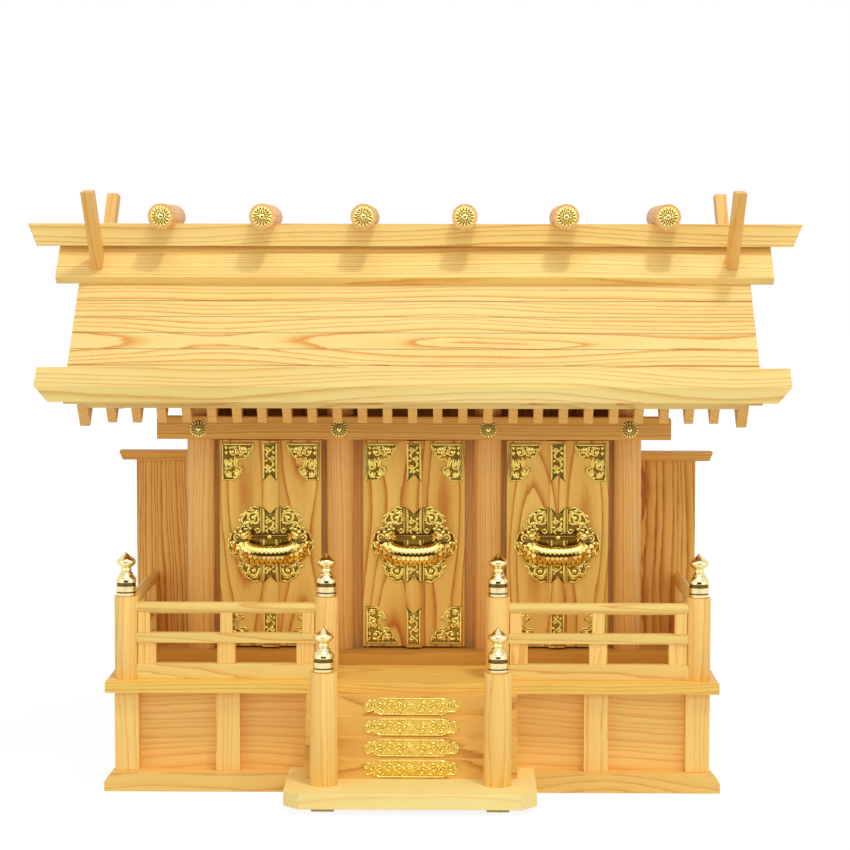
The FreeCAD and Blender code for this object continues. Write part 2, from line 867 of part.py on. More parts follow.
def build():
    os.makedirs("parts", exist_ok=True)
    export("base_frame", base_frame())
    export("base_posts", base_posts())
    export("base_panels", base_panels())
    export("floor_board", floor_board())
    export("stair_plate", stair_plate())
    export("stair_steps", stair_steps())
    export("step_plates", step_plates())
    export("newel_posts", newel_posts())
    export("railing_posts", rail_posts())
    export("finials", finials())
    export("railing_top_rails", top_rails())
    export("railing_middle_rails", middle_rails())
    export("railing_bottom_rails", bottom_rails())
    export("railing_struts", rail_struts())
    export("sill", sill())
    export("pillars", pillars())
    export("side_walls", side_walls())
    export("back_wall", back_wall())
    export("head_rail", head_rail())
    export("door_jambs", door_jambs())
    export("front_beam", front_beam())
    export("beam_rosettes", beam_rosettes())
    export("side_screens", side_screens())
    export("screen_caps", screen_caps())
    slopes = {
        "roof_board": roof_board(),
        "ridge_cover": ridge_cover(),
        "eave_board": eave_board(),
        "fascia_strip": [fascia_strip()],
        "rafters": rafters(),
        "barge_boards": barge_boards(),
    }
    for name, shapes in slopes.items():
        export(name + "_front", shapes)
        back = [front_to_back(shape, ridge_y) for shape in shapes]
        if name == "rafters":
            # Behind the body the rafters start at the back wall.
            back = [shape.cut(box(-reach, reach, 0, back_outer, 0, reach)) for shape in back]
        export(name + "_back", back)
    export("ridge_board", ridge_board())
    export("ridge_crossbars", crossbars())
    export("ridge_logs", ridge_logs())
    export("log_rosettes", log_rosettes())
    for name, x in bays:
        export("door_" + name + "_lead", lead_leaf(x))
        export("door_" + name + "_lead_fittings", lead_fittings(x))
        export("door_" + name + "_lock", [lock(x)])
        export("door_" + name + "_second", second_leaf(x))
        export("door_" + name + "_second_fittings", second_fittings(x))


build()
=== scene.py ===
import math

import bmesh
import bpy
from mathutils import Matrix, Vector


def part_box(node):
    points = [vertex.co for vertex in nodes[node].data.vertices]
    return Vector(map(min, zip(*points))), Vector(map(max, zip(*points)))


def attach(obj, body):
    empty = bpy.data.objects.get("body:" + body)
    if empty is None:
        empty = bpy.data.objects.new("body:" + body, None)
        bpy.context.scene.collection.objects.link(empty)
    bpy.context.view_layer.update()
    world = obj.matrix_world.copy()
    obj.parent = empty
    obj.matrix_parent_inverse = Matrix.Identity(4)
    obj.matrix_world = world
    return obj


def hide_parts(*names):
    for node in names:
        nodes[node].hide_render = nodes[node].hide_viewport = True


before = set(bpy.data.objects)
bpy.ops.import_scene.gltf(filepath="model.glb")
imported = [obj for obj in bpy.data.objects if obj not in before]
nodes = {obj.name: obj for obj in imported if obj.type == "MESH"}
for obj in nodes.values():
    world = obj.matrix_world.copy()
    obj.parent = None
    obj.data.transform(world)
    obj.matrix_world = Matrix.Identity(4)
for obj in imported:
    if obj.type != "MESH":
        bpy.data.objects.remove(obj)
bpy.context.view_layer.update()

# Lengths are in millimetres, except those of lamps, cards and camera.
MM = 0.001
X, Y, Z = (1, 0, 0), (0, 1, 0), (0, 0, 1)


def corners(node):
    """A CAD node's lowest and highest corners, in millimetres."""
    lo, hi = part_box(node)
    return [round(c / MM, 3) for c in lo], [round(c / MM, 3) for c in hi]


def middle(node):
    """The middle of a CAD node's box, in millimetres."""
    lo, hi = corners(node)
    return [(a + b) / 2 for a, b in zip(lo, hi)]


# Roof: its ridge, its slope, the way down the slope, and the way up a crossbar.
RIDGE_Y = middle("ridge_board")[1]
PITCH = math.radians(43.5)
DOWN = (0, math.cos(PITCH), -math.sin(PITCH))
UP_BAR = (0, 0.684, 0.729)
# Where the roof board's top edge lies down the slope and square to it.
ROOF_TOP = corners("roof_board_front")[1][2]
ROOF_START = (-ROOF_TOP * math.sin(PITCH), ROOF_TOP * math.cos(PITCH))
LOG_PITCH, LOG_COUNT = 66.5, 6
LOG_XS = [LOG_PITCH * (k - (LOG_COUNT - 1) / 2) for k in range(LOG_COUNT)]

# Side pieces of base and railing, whose grain runs front to back: they lie past these X, and
# the side beams within this distance of the ridge's plane.
SIDE_RAILS_X, SIDE_BEAMS_X = 175.5, 174.0
SIDE_BEAMS_REACH, ANY_REACH = 71.5, 999.0

# Doors: a bay's middle, the width of a leaf, and half the meeting strip.
BAYS = {bay: middle("door_" + bay + "_lock")[0] for bay in ("left", "centre", "right")}
LEAF_W = -corners("door_centre_lead")[0][0]
STRIP_HALF = corners("door_centre_lead")[1][0]
# The back wall shows boards side by side: the first one's edge, and their width.
BACK_BOARDS = (corners("back_wall")[0][0], 75.0)

# Mounts: the plates' sizes, and how their sunk ground, relief and rim stand over the leaf.
CORNER_W, CORNER_H = 21.2, 25.3
CORNER_NOTCH, NOTCH_R = (0.6 * CORNER_W, 0.54 * CORNER_H), 0.125 * CORNER_W
CORNER_CURL_W, CORNER_LEAF_W, MEDAL_LEAF_W = 2.6, 2.3, 2.6
STRIP_PLATE_HALF = corners("door_centre_lead_fittings")[1][0]
MEDAL_W, MEDAL_H, MEDAL_Z = 57.0, 51.0, 148.6
GROUND, PROUD = 0.15, 1.0
RELIEF = PROUD - GROUND
CORNER_RIM, RIM = 1.3, 1.2
RIM_INSET, RIM_OVER, RIM_UNDER = 0.6, 0.1, 0.05
VINE_BEND, VINE_W = 5.6, 1.7
# Curls: place as shares of the plate, radius, angle where they start, turns.
CORNER_CURLS = (
    (0.33, 0.25, 3.7, 225, 0.95), (0.69, 0.16, 2.6, 190, -0.95), (0.24, 0.60, 3.3, 270, -0.95),
    (0.48, 0.82, 2.3, 200, 0.9), (0.19, 0.86, 1.9, 265, 0.9))
# Leaves: place as shares of the plate, angle, length.
CORNER_LEAVES = (
    (0.1, 0.40, 80, 4.4), (0.5, 0.08, 20, 4.2), (0.08, 0.07, 45, 3.4), (0.1, 0.2, 60, 3.6),
    (0.82, 0.2, -60, 3.2), (0.52, 0.33, -30, 3.4), (0.7, 0.3, 60, 2.8), (0.34, 0.45, 100, 3.0),
    (0.42, 0.68, 30, 3.2), (0.6, 0.72, 100, 2.8), (0.1, 0.72, 80, 3.2), (0.33, 0.92, -20, 2.8),
    (0.24, 0.42, 20, 3.8), (0.16, 0.48, 50, 3.6), (0.4, 0.36, 60, 3.4), (0.56, 0.24, 10, 3.2))
# The round mount's curls also say how broad they are and how many leaves they bear.
MEDAL_CURLS = (
    (0.42, 0.68, 4.8, 200, -1.15, 2.7, 3), (0.31, 0.37, 2.5, 160, 0.9, 2.4, 1),
    (0.57, 0.36, 2.7, 90, 0.9, 2.5, 2), (0.79, 0.22, 3.0, 20, -0.95, 2.6, 2))
MEDAL_LEAVES = (
    (0.27, 0.84, -70, 4.6), (0.36, 0.9, -20, 4.8), (0.24, 0.16, 40, 4.8), (0.26, 0.6, -50, 4.0),
    (0.62, 0.82, -60, 4.0), (0.66, 0.56, 30, 3.6), (0.7, 0.44, -30, 3.8), (0.44, 0.2, 10, 4.4),
    (0.42, 0.5, 60, 3.4), (0.9, 0.1, -80, 3.6), (0.6, 0.14, 50, 4.0), (0.5, 0.46, 30, 4.4),
    (0.6, 0.5, -60, 3.6), (0.33, 0.52, 10, 4.2), (0.44, 0.42, -30, 4.2), (0.56, 0.62, -75, 3.8),
    (0.68, 0.36, 20, 4.0))

# Lock: half its length, the height of its bar, the crescent's middle line, and its fish scales.
LOCK_HALF = corners("door_centre_lock")[1][0]
LOCK_Z = 154.8
LOCK_REACH, LOCK_DROP, LOCK_FAT = 20.8, 13.0, 5.9
CRESCENT_TURN, CRESCENT_PARTS = math.radians(84), 400
# How far the lock's back and front stand over the leaf, and how far they fall to its ends.
LOCK_BACK, BACK_FALL = 5.9, 4.4
LOCK_FRONT, FRONT_FALL = 10.5, 7.2
BAR_HALF, BAR_TALL, BAR_DEEP = 13.5, 2.1, 1.6
SCALE, SCALE_ROWS, SCALED_PART = 2.9, 6, 0.94
SCALE_WIDE, SCALE_LONG, SCALE_FOOT, SCALE_SIDES = 0.58 * SCALE, 0.68 * SCALE, 0.5 * SCALE, 10
# Ringed eyes and plain beads on the lock's heads: place along and up, radius.
LOCK_EYES = ((22.0, -0.9, 2.9), (17.0, 0.3, 2.3))
LOCK_BEADS = ((24.6, -4.6, 1.6), (19.6, 3.1, 1.5), (23.6, 2.6, 1.3), (15.2, 2.6, 1.1))

# Rosettes on the logs' ends and on the beam over the pillars.
PETALS, STEPS_A_PETAL = 16, 8
ROSETTE_THICK = 1.6
LOG_ROSETTE, BEAM_ROSETTE = 6.9, 5.85
PILLAR_XS = (-142.0, -49.1, 49.1, 142.0)
# Circles of a rosette as shares of its radius: the boss, the short petals, the long petals.
BOSS_EDGE, SHORT_EDGE = 0.26, 0.57
ROSETTE_CIRCLES = (0.1, 0.18, 0.24, 0.28, 0.34, 0.42, 0.5, 0.56, 0.6, 0.68, 0.76, 0.84, 0.91, 0.96, 1.0)

# Onion caps: radius, height over the post, and 1 where the metal is dark.
CAP_BAND = (
    (6.4, 0.0, 0), (6.5, 0.3, 0), (6.5, 2.2, 1), (6.1, 2.4, 1), (6.1, 2.9, 1), (6.5, 3.1, 0), (6.5, 6.3, 0),
    (6.5, 6.5, 1), (6.1, 6.7, 1), (6.1, 8.7, 1), (6.5, 8.9, 0))
CAP_SHOULDER = (
    (6.5, 10.4, 0), (6.3, 11.2, 0), (5.8, 12.1, 0), (5.1, 12.9, 0), (4.5, 13.5, 0), (4.3, 13.8, 0))
CAP_NECK = (
    (4.6, 14.1, 0), (4.4, 14.6, 0), (3.8, 15.1, 0), (3.3, 15.5, 0), (3.1, 15.9, 0), (3.4, 16.3, 0),
    (3.5, 16.8, 0), (3.3, 17.3, 0), (3.0, 17.8, 0))
CAP_ONION = (
    (3.1, 18.3, 0), (3.9, 18.8, 0), (4.8, 19.4, 0), (5.5, 20.1, 0), (6.0, 20.9, 0), (6.2, 21.7, 0),
    (6.2, 22.5, 0), (5.9, 23.2, 0), (5.2, 23.9, 0), (4.3, 24.5, 0), (3.4, 25.1, 0), (2.6, 25.8, 0),
    (1.8, 26.5, 0), (1.0, 27.3, 0), (0.15, 28.15, 0))
CAP_PROFILE = CAP_BAND + CAP_SHOULDER + CAP_NECK + CAP_ONION
CAP_SIDES = 48
RAIL_POST_XS = (-183.2, -54.9, 54.9, 183.2)
NEWEL_XS = (-54.0, 54.0)

# Plates on the risers: half their length and height, and how thick the source has them.
RISERS = 4
RISER_HALF, RISER_TALL, RISER_THICK = corners("step_plates")[1][0], 5.5, 1.0
# Curls: place as shares of the plate, radius, which way they wind, width, height, leaves.
RISER_CURLS = (
    (0.24, -0.1, 3.4, 1, 1.6, 0.8, 4), (0.45, 0.12, 3.3, -1, 1.6, 0.8, 4),
    (0.64, -0.08, 2.7, 1, 1.5, 0.7, 4), (0.79, 0.1, 2.0, -1, 1.3, 0.6, 3))

# Woods, 0 to 255 on screen: between the lines, the board's ground, and the lines.
ROOF = ((247, 219, 143), (241, 206, 122), (222, 132, 48))
RIDGE = ((250, 222, 144), (244, 208, 120), (220, 146, 58))
EAVE = ((244, 218, 140), (235, 202, 118), (206, 146, 66))
RAFTER = ((244, 196, 112), (232, 176, 92), (192, 126, 58))
BEAM = ((253, 196, 98), (236, 173, 79), (190, 121, 48))
PILLAR = ((255, 204, 119), (242, 182, 98), (198, 124, 60))
DOOR = ((254, 210, 108), (239, 187, 84), (204, 112, 34))
SCREEN = ((255, 208, 112), (246, 184, 86), (190, 108, 36))
SILL = ((216, 161, 70), (199, 140, 54), (156, 94, 30))
RAIL = ((246, 218, 132), (238, 200, 110), (216, 140, 56))
POST = ((255, 215, 126), (250, 197, 106), (216, 138, 56))
FLOOR = ((252, 212, 108), (243, 194, 90), (206, 134, 46))
PLATE = ((255, 237, 157), (253, 218, 131), (225, 166, 82))
PANEL = ((255, 214, 124), (246, 188, 98), (216, 136, 62))
BASE = ((249, 206, 114), (239, 190, 98), (212, 140, 58))
STEP = ((247, 202, 107), (233, 179, 84), (186, 116, 40))
LOG = ((248, 200, 134), (234, 180, 112), (184, 122, 64))
WOOD_ROUGH, WOOD_SHEEN = 0.5, 0.3
EDGE_ROUND, EDGE_STEPS = 0.35, 2
# Noises in the wood: how often each changes along and across the grain, per millimetre.
SLOW, SMALL, FINE, PORE, TONE = (0.0045, 0.012), (0.03, 0.3), (0.05, 1.5), (0.3, 4.2), (0.005, 0.025)
# How far the next kind of wood, and the next board, lies along the log.
SEED_STEP, BOARD_STEP = 137.0, 900.0

# The pieces that each kind of wood is for. The doors have their own, one for each bay.
PIECES = {
    "roof_wood": ("roof_board_front", "roof_board_back"),
    "ridge_wood": ("ridge_cover_front", "ridge_cover_back", "ridge_board"),
    "eave_wood": ("eave_board_front", "eave_board_back", "fascia_strip_front", "fascia_strip_back"),
    "rafter_wood": ("rafters_front", "rafters_back", "barge_boards_front", "barge_boards_back"),
    "bar_wood": ("ridge_crossbars",),
    "log_wood": ("ridge_logs",),
    "beam_wood": ("front_beam", "head_rail", "screen_caps"),
    "pillar_wood": ("pillars", "door_jambs"),
    "screen_wood": ("side_screens",),
    "wall_wood": ("side_walls", "back_wall"),
    "sill_wood": ("sill",),
    "floor_wood": ("floor_board",),
    "post_wood": ("railing_posts", "newel_posts", "railing_struts", "base_posts"),
    "rail_wood": ("railing_top_rails", "railing_middle_rails", "railing_bottom_rails"),
    "base_wood": ("base_frame",),
    "panel_wood": ("base_panels",),
    "plate_wood": ("stair_plate",),
    "step_wood": ("stair_steps",),
}
for bay in BAYS:
    PIECES["door_" + bay + "_wood"] = ("door_" + bay + "_lead", "door_" + bay + "_second")

# The photograph's camera, fitted to the altar's edges: pixels, then metres and radians.
PHOTO_SIDE, FOCAL = 850.0, 2465.1
SENSOR = 36.0
CAMERA_PLACE = (0.0254, -1.6197, 0.35136)
CAMERA_TURN, CAMERA_TILT, CAMERA_ROLL = 0.01113, 0.07509, 0.00163
# Lamps: place and size in metres, and watts.
LAMPS = (
    ("key", (0.42, -0.75, 1.95), (0.17, 0.17), 8.5),
    ("top_box", (0.1, -0.8, 2.1), (1.3, 0.8), 7),
    ("front_box", (0.2, -2.0, 1.4), (1.2, 0.7), 6),
    ("fill_left", (-1.6, -1.5, 0.6), (1.2, 1.2), 5),
    ("fill_right", (1.7, -1.3, 0.6), (1.2, 1.2), 4.5))
LAMP_TARGET = (0, 0, 0.2)
# Dark cards that the metal mirrors: place and size in metres, and tilt.
CARDS = (
    ("dark_cloth", (0.0, -2.6, 0.3), (2.2, 0.9), math.pi / 2),
    ("dark_table", (0.0, -1.9, 0.004), (1.7, 1.3), 0.0))
WHITE, FLOOR_FOR_LIGHT, FLOOR_SEEN = (1, 1, 1, 1), (0.8, 0.8, 0.8, 1), (0.16, 0.16, 0.16, 1)


def linear(rgb):
    """A colour as it looks on screen, 0 to 255, as the shader wants it."""
    out = []
    for c in rgb:
        c = c / 255
        out.append(c / 12.92 if c <= 0.04045 else ((c + 0.055) / 1.055) ** 2.4)
    return (*out, 1.0)


class Tree:
    """A material's node tree with short calls for the nodes used here."""

    def __init__(self, name):
        self.mat = bpy.data.materials.new(name)
        self.mat.use_nodes = True
        self.nt = self.mat.node_tree
        self.bsdf = self.nt.nodes["Principled BSDF"]

    def node(self, kind, **props):
        n = self.nt.nodes.new(kind)
        for k, v in props.items():
            setattr(n, k, v)
        return n

    def put(self, socket, value):
        if isinstance(value, bpy.types.NodeSocket):
            self.nt.links.new(value, socket)
        else:
            socket.default_value = value

    def place(self):
        """A point's place on its own object, in metres."""
        return self.node("ShaderNodeTexCoord").outputs["Object"]

    def place_mm(self):
        pos = self.vec("SCALE", self.place())
        pos.node.inputs["Scale"].default_value = 1 / MM
        return pos

    def math(self, op, a, b=0.0, c=0.0):
        n = self.node("ShaderNodeMath", operation=op)
        for i, v in enumerate((a, b, c)):
            self.put(n.inputs[i], v)
        return n.outputs[0]

    def swing(self, value, reach, centre=0.0):
        """A value from 0 to 1 made to run from centre - reach to centre + reach."""
        return self.math("MULTIPLY_ADD", value, 2 * reach, centre - reach)

    def vec(self, op, a, b=(0, 0, 0)):
        n = self.node("ShaderNodeVectorMath", operation=op)
        self.put(n.inputs[0], a)
        self.put(n.inputs[1], b)
        return n.outputs["Value" if op in ("DOT_PRODUCT", "LENGTH") else "Vector"]

    def xyz(self, x, y, z):
        n = self.node("ShaderNodeCombineXYZ")
        for i, v in enumerate((x, y, z)):
            self.put(n.inputs[i], v)
        return n.outputs[0]

    def split(self, v):
        n = self.node("ShaderNodeSeparateXYZ")
        self.put(n.inputs[0], v)
        return n.outputs

    def noise(self, v, scale=1.0, detail=2.0, rough=0.5):
        n = self.node("ShaderNodeTexNoise")
        self.put(n.inputs["Vector"], v)
        self.put(n.inputs["Scale"], scale)
        self.put(n.inputs["Detail"], detail)
        self.put(n.inputs["Roughness"], rough)
        return n.outputs["Fac"]

    def streaks(self, grain, often, detail, rough=0.5):
        """Noise drawn out along the grain."""
        along, across = often
        return self.noise(self.vec("MULTIPLY", grain, (along, across, across)), 1.0, detail, rough)

    def ramp(self, fac, stops):
        n = self.node("ShaderNodeValToRGB")
        el = n.color_ramp.elements
        while len(el) < len(stops):
            el.new(0.5)
        for e, (p, c) in zip(el, stops):
            e.position = p
            e.color = c if isinstance(c, tuple) else (c, c, c, 1)
        self.put(n.inputs[0], fac)
        return n.outputs[0]

    def choose(self, kind, fac, a, b):
        """a where fac is 0 and b where it is 1, of colours or vectors."""
        n = self.node("ShaderNodeMix", data_type=kind)
        first, last, out = {"RGBA": (6, 7, 2), "VECTOR": (4, 5, 1)}[kind]
        self.put(n.inputs[0], fac)
        self.put(n.inputs[first], a)
        self.put(n.inputs[last], b)
        return n.outputs[out]

    def bump(self, height, strength, distance=0.2 * MM):
        n = self.node("ShaderNodeBump")
        self.put(n.inputs["Strength"], strength)
        self.put(n.inputs["Distance"], distance)
        self.put(n.inputs["Height"], height)
        self.put(self.bsdf.inputs["Normal"], n.outputs[0])


def grain_place(t, along, across, turn):
    """A point's place along the grain, across it and through the board. The wood behind the
    ridge mirrors the wood before it, and turn says past which X, and how near the ridge's
    plane, it runs front to back."""
    x, y, z = t.split(t.place_mm())
    folded = t.math("ABSOLUTE", t.math("SUBTRACT", y, RIDGE_Y))
    p = t.xyz(x, folded, z)
    if turn:
        side = t.math("MULTIPLY", t.math("GREATER_THAN", t.math("ABSOLUTE", x), turn[0]),
                      t.math("LESS_THAN", folded, turn[1]))
        p = t.choose("VECTOR", side, p, t.xyz(folded, x, z))
    a, c = Vector(along).normalized(), Vector(across).normalized()
    return [t.vec("DOT_PRODUCT", p, tuple(d)) for d in (a, c, a.cross(c))]


def split_boards(t, u, v, first, width, seed):
    """Boards side by side, each from another place in the log and with a tone of its own."""
    number = t.math("FLOOR", t.math("DIVIDE", t.math("SUBTRACT", v, first), width))
    chance = t.node("ShaderNodeTexWhiteNoise", noise_dimensions="1D")
    t.put(chance.inputs["W"], t.math("ADD", number, seed))
    tone = chance.outputs["Value"]
    u = t.math("ADD", u, t.math("MULTIPLY", tone, BOARD_STEP))
    v = t.math("SUBTRACT", v, t.math("MULTIPLY_ADD", number, width, first + width / 2))
    return u, v, tone


def year(t, u, v, w, pith, ring, sway, seed, wobble, drift):
    """How far a point lies in its year's ring, from 0 at the early wood to 1."""
    grain = t.xyz(u, v, w)
    slow = t.streaks(grain, SLOW, 1.0)
    small = t.streaks(grain, SMALL, 2.0)
    wander = t.noise(t.vec("MULTIPLY", t.xyz(u, seed * 5.0, 0.0), (drift, 1.0, 1.0)), 1.0, 0.0)
    v = t.math("ADD", v, t.swing(slow, 8.0 * wobble, -pith[0]))
    w = t.math("ADD", w, t.swing(wander, sway, -pith[1]))
    r = t.math("SQRT", t.math("ADD", t.math("MULTIPLY", v, v), t.math("MULTIPLY", w, w)))
    r = t.math("ADD", r, t.swing(small, 0.55 * wobble))
    years = t.math("DIVIDE", r, ring)
    # Good and poor years follow one another.
    uneven = t.math("MULTIPLY", t.math("SINE", t.math("MULTIPLY", years, 1.7)), 0.28)
    return t.math("FRACT", t.math("ADD", years, uneven))


def wood(name, along, across, colours, pith, ring, seed, sway=0.0, line=1.0, wobble=1.0, spread=0.1,
         drift=0.008, board=None, turn=None, origin=(0.0, 0.0)):
    """Zelkova: rings round a pith that lies beside the board, with pores in the early wood.

    along and across are directions on the board. pith is its place across and through the
    board, ring the width of a year, and seed where along the log it is. sway is how far the
    pith wanders, which draws the flame figure, and drift how quickly. line is how strong the
    lines are, spread how wide, and wobble how unsteady. board is the first edge and the width
    of boards side by side, and origin is where the log begins."""
    t = Tree(name)
    u, v, w = grain_place(t, along, across, turn)
    own_tone = 0.5
    if board:
        u, v, own_tone = split_boards(t, u, v, *board, seed)
    u = t.math("ADD", u, seed * SEED_STEP)
    v = t.math("SUBTRACT", v, origin[0])
    w = t.math("SUBTRACT", w, origin[1])
    in_year = year(t, u, v, w, pith, ring, sway, seed, wobble, drift)
    draw_grain(t, t.xyz(u, v, w), in_year, own_tone, colours, line, spread)
    t.bsdf.inputs["Specular IOR Level"].default_value = WOOD_SHEEN


def draw_grain(t, grain, in_year, own_tone, colours, line, spread):
    """Dark lines of early wood with pores in them, on a ground with fine streaks and clouds."""
    early = t.ramp(in_year, [(0.0, 0.3), (spread * 0.4, 1.0), (spread, 0.7), (spread * 2.4, 0.22),
                             (0.8, 0.0), (1.0, 0.08)])
    fine = t.streaks(grain, FINE, 3.0, 0.6)
    dots = t.ramp(t.streaks(grain, PORE, 1.0), [(0.52, 0.0), (0.7, 1.0)])
    in_early = t.math("MULTIPLY", dots, t.math("MULTIPLY_ADD", early, 0.8, 0.2))
    dark = t.math("MULTIPLY_ADD", early, 0.62 * line, 0.05)
    dark = t.math("MULTIPLY_ADD", in_early, 0.2 * line, dark)
    dark = t.math("ADD", dark, t.swing(fine, 0.22))
    dark = t.math("ADD", dark, t.swing(t.streaks(grain, TONE, 1.0), 0.25, 0.05))
    dark = t.math("ADD", dark, t.swing(own_tone, 0.07))
    stops = [(place, linear(colour)) for place, colour in zip((0.0, 0.35, 1.0), colours)]
    t.put(t.bsdf.inputs["Base Color"], t.ramp(dark, stops))
    t.put(t.bsdf.inputs["Roughness"], t.swing(fine, 0.07, WOOD_ROUGH))
    t.bump(t.math("ADD", t.math("MULTIPLY", early, -0.6), t.math("MULTIPLY", dots, -0.5)), 0.18)


def roof_woods():
    """The woods of the roof: flame figure on the boards, plain grain on the small pieces."""
    wood("roof_wood", X, DOWN, ROOF, pith=(86, -7), ring=4.6, sway=15.0, seed=1.6, line=1.25, wobble=1.3,
         spread=0.14, drift=0.0055, origin=ROOF_START)
    wood("ridge_wood", X, DOWN, RIDGE, pith=(-90, 30), ring=2.9, sway=4.0, seed=2.0, line=1.1, spread=0.13,
         origin=ROOF_START)
    wood("eave_wood", X, DOWN, EAVE, pith=(20, 26), ring=4.8, sway=8.0, seed=3.0, line=0.95, wobble=1.5,
         spread=0.13, origin=ROOF_START)
    wood("rafter_wood", DOWN, X, RAFTER, pith=(0, 90), ring=2.8, seed=4.0, line=0.7)
    wood("bar_wood", UP_BAR, X, RAFTER, pith=(60, 90), ring=3.0, seed=5.0, line=0.7)
    wood("log_wood", Y, X, LOG, pith=(0, 20), ring=2.6, seed=6.0, line=0.7)


def body_woods():
    """The woods between floor and roof. Each leaf of the doors is a board of its own."""
    wood("beam_wood", X, Z, BEAM, pith=(-90, 30), ring=2.6, seed=7.0)
    wood("pillar_wood", Z, X, PILLAR, pith=(300, 60), ring=2.4, seed=8.0, line=0.95, wobble=1.4)
    wood("screen_wood", Z, X, SCREEN, pith=(160, 20), ring=2.3, seed=9.0, line=1.35, wobble=1.7, spread=0.18)
    wood("wall_wood", Z, X, RAFTER, pith=(20, 16), ring=5.0, sway=7.0, seed=10.0, board=BACK_BOARDS)
    wood("sill_wood", X, Z, SILL, pith=(60, 20), ring=2.6, seed=15.0)
    for k, (bay, x) in enumerate(BAYS.items()):
        wood("door_" + bay + "_wood", Z, X, DOOR, pith=(2, 9), ring=5.0, sway=14.0, seed=20.0 + 3 * k,
             line=1.5, wobble=0.8, spread=0.13, board=(x - LEAF_W, LEAF_W))


def base_woods():
    """The woods of base, floor, stairs and railing."""
    wood("panel_wood", X, Z, PANEL, pith=(-60, 60), ring=2.3, sway=4.0, seed=11.0, line=0.62, wobble=1.2,
         spread=0.16, turn=(SIDE_RAILS_X, ANY_REACH))
    wood("rail_wood", X, Z, RAIL, pith=(40, 20), ring=2.3, sway=5.0, seed=12.0, line=0.95,
         turn=(SIDE_RAILS_X, ANY_REACH))
    wood("post_wood", Z, X, POST, pith=(60, 14), ring=3.4, sway=5.0, seed=13.0, line=0.85, wobble=2.0)
    wood("floor_wood", X, Y, FLOOR, pith=(60, 22), ring=2.3, sway=6.0, seed=14.0, line=1.05)
    wood("base_wood", X, Z, BASE, pith=(-40, 22), ring=2.3, sway=5.0, seed=16.0, line=0.95,
         turn=(SIDE_BEAMS_X, SIDE_BEAMS_REACH))
    wood("step_wood", X, Z, STEP, pith=(50, 12), ring=4.0, sway=6.0, seed=17.0)
    wood("plate_wood", X, Y, PLATE, pith=(60, 60), ring=3.0, sway=4.0, seed=18.0, line=0.5)


def gold(name, colour, rough, dark, grime, deep=1.3):
    """Gilt metal: cloudy, lightly pitted, and darkened in the crevices of its relief, partly by the dark
    toning that gilt takes in its hollows and partly by painted shade.
    """
    t = Tree(name)
    pos = t.place_mm()
    speck = t.noise(pos, 2.2, 2.0)
    cloud = t.ramp(t.noise(pos, 0.35, 3.0), [(0.35, 0.0), (0.8, 0.35 * grime)])
    # Crevices of the relief: painted shade, together with the dark toning of gilt in its hollows.
    crevice = t.node("ShaderNodeAmbientOcclusion")
    crevice.samples = 6
    t.put(crevice.inputs["Distance"], deep * MM)
    painted_crevice_shade = t.ramp(crevice.outputs["AO"], [(0.3, 1.0), (0.78, 0.0)])
    grime_and_painted_shade = t.math("MAXIMUM", cloud, painted_crevice_shade)
    t.put(t.bsdf.inputs["Base Color"], t.choose("RGBA", grime_and_painted_shade, linear(colour), linear(dark)))
    t.bsdf.inputs["Metallic"].default_value = 1.0
    t.put(t.bsdf.inputs["Roughness"], t.swing(speck, 0.08, rough))
    t.bump(speck, 0.12)
    return t.mat


GOLD = gold("gilt", (252, 226, 122), 0.17, (112, 86, 24), 0.9, 0.8)
# The mounts' sunk ground: a gilt darkened to olive, and to near black in its crevices, as painted shade
# where the fretwork is pierced.
GOLD_SHADED_GROUND = gold("gilt_ground_painted_shade", (170, 138, 54), 0.3, (14, 9, 2), 0.9, 1.2)
GOLD_MID = gold("gilt_relief", (250, 212, 98), 0.3, (160, 120, 40), 0.8, 0.7)
ROSE_GOLD = gold("rosette_gilt", (252, 230, 146), 0.16, (98, 68, 18), 0.5, 1.8)
CAP_GOLD = gold("finial_gilt", (246, 228, 170), 0.1, (120, 92, 44), 0.4)
CAP_DARK = gold("finial_groove", (120, 92, 44), 0.14, (40, 28, 12), 0.6)
LOCK_GOLD = gold("lock_gilt", (255, 228, 130), 0.12, (150, 100, 28), 0.5, 0.8)
# The lock's darker gilt, for its bar and for the heads' pads and collars; on the bar it is a painted dark
# reflection.
LOCK_DARK = gold("lock_bar_gilt", (124, 98, 44), 0.1, (40, 28, 10), 0.6)


def paint(obj, mat):
    obj.data.materials.clear()
    obj.data.materials.append(mat)


def soften(obj):
    """Small rounded edges, as sanded wood has."""
    weld = obj.modifiers.new("weld", "WELD")
    weld.merge_threshold = 0.02 * MM
    bevel = obj.modifiers.new("bevel", "BEVEL")
    bevel.width = EDGE_ROUND * MM
    bevel.segments = EDGE_STEPS
    bevel.limit_method = "ANGLE"
    bevel.angle_limit = math.radians(40)
    bevel.harden_normals = True


def dress_wood():
    """Every wooden piece of the source gets its wood and its rounded edges."""
    for kind, pieces in PIECES.items():
        for piece in pieces:
            paint(nodes[piece], bpy.data.materials[kind])
            soften(nodes[piece])


def dress_metal():
    """Every other piece of the source is gilt."""
    wooden = {piece for pieces in PIECES.values() for piece in pieces}
    for name, obj in nodes.items():
        if name not in wooden:
            paint(obj, CAP_GOLD if name == "finials" else GOLD)


ROUND_BACK = ((-0.5, 0), (-0.38, 0.66), (0, 1), (0.38, 0.66), (0.5, 0))
FLAT_BACK = ((-0.5, 0), (-0.5, 0.75), (-0.3, 1), (0.3, 1), (0.5, 0.75), (0.5, 0))
CURL_STEPS, WIND_IN = 22, 0.8
RING_STEPS, RING_SIDES = 20, 8


def circle(steps):
    """Angles round a circle."""
    return [2 * math.pi * k / steps for k in range(steps)]


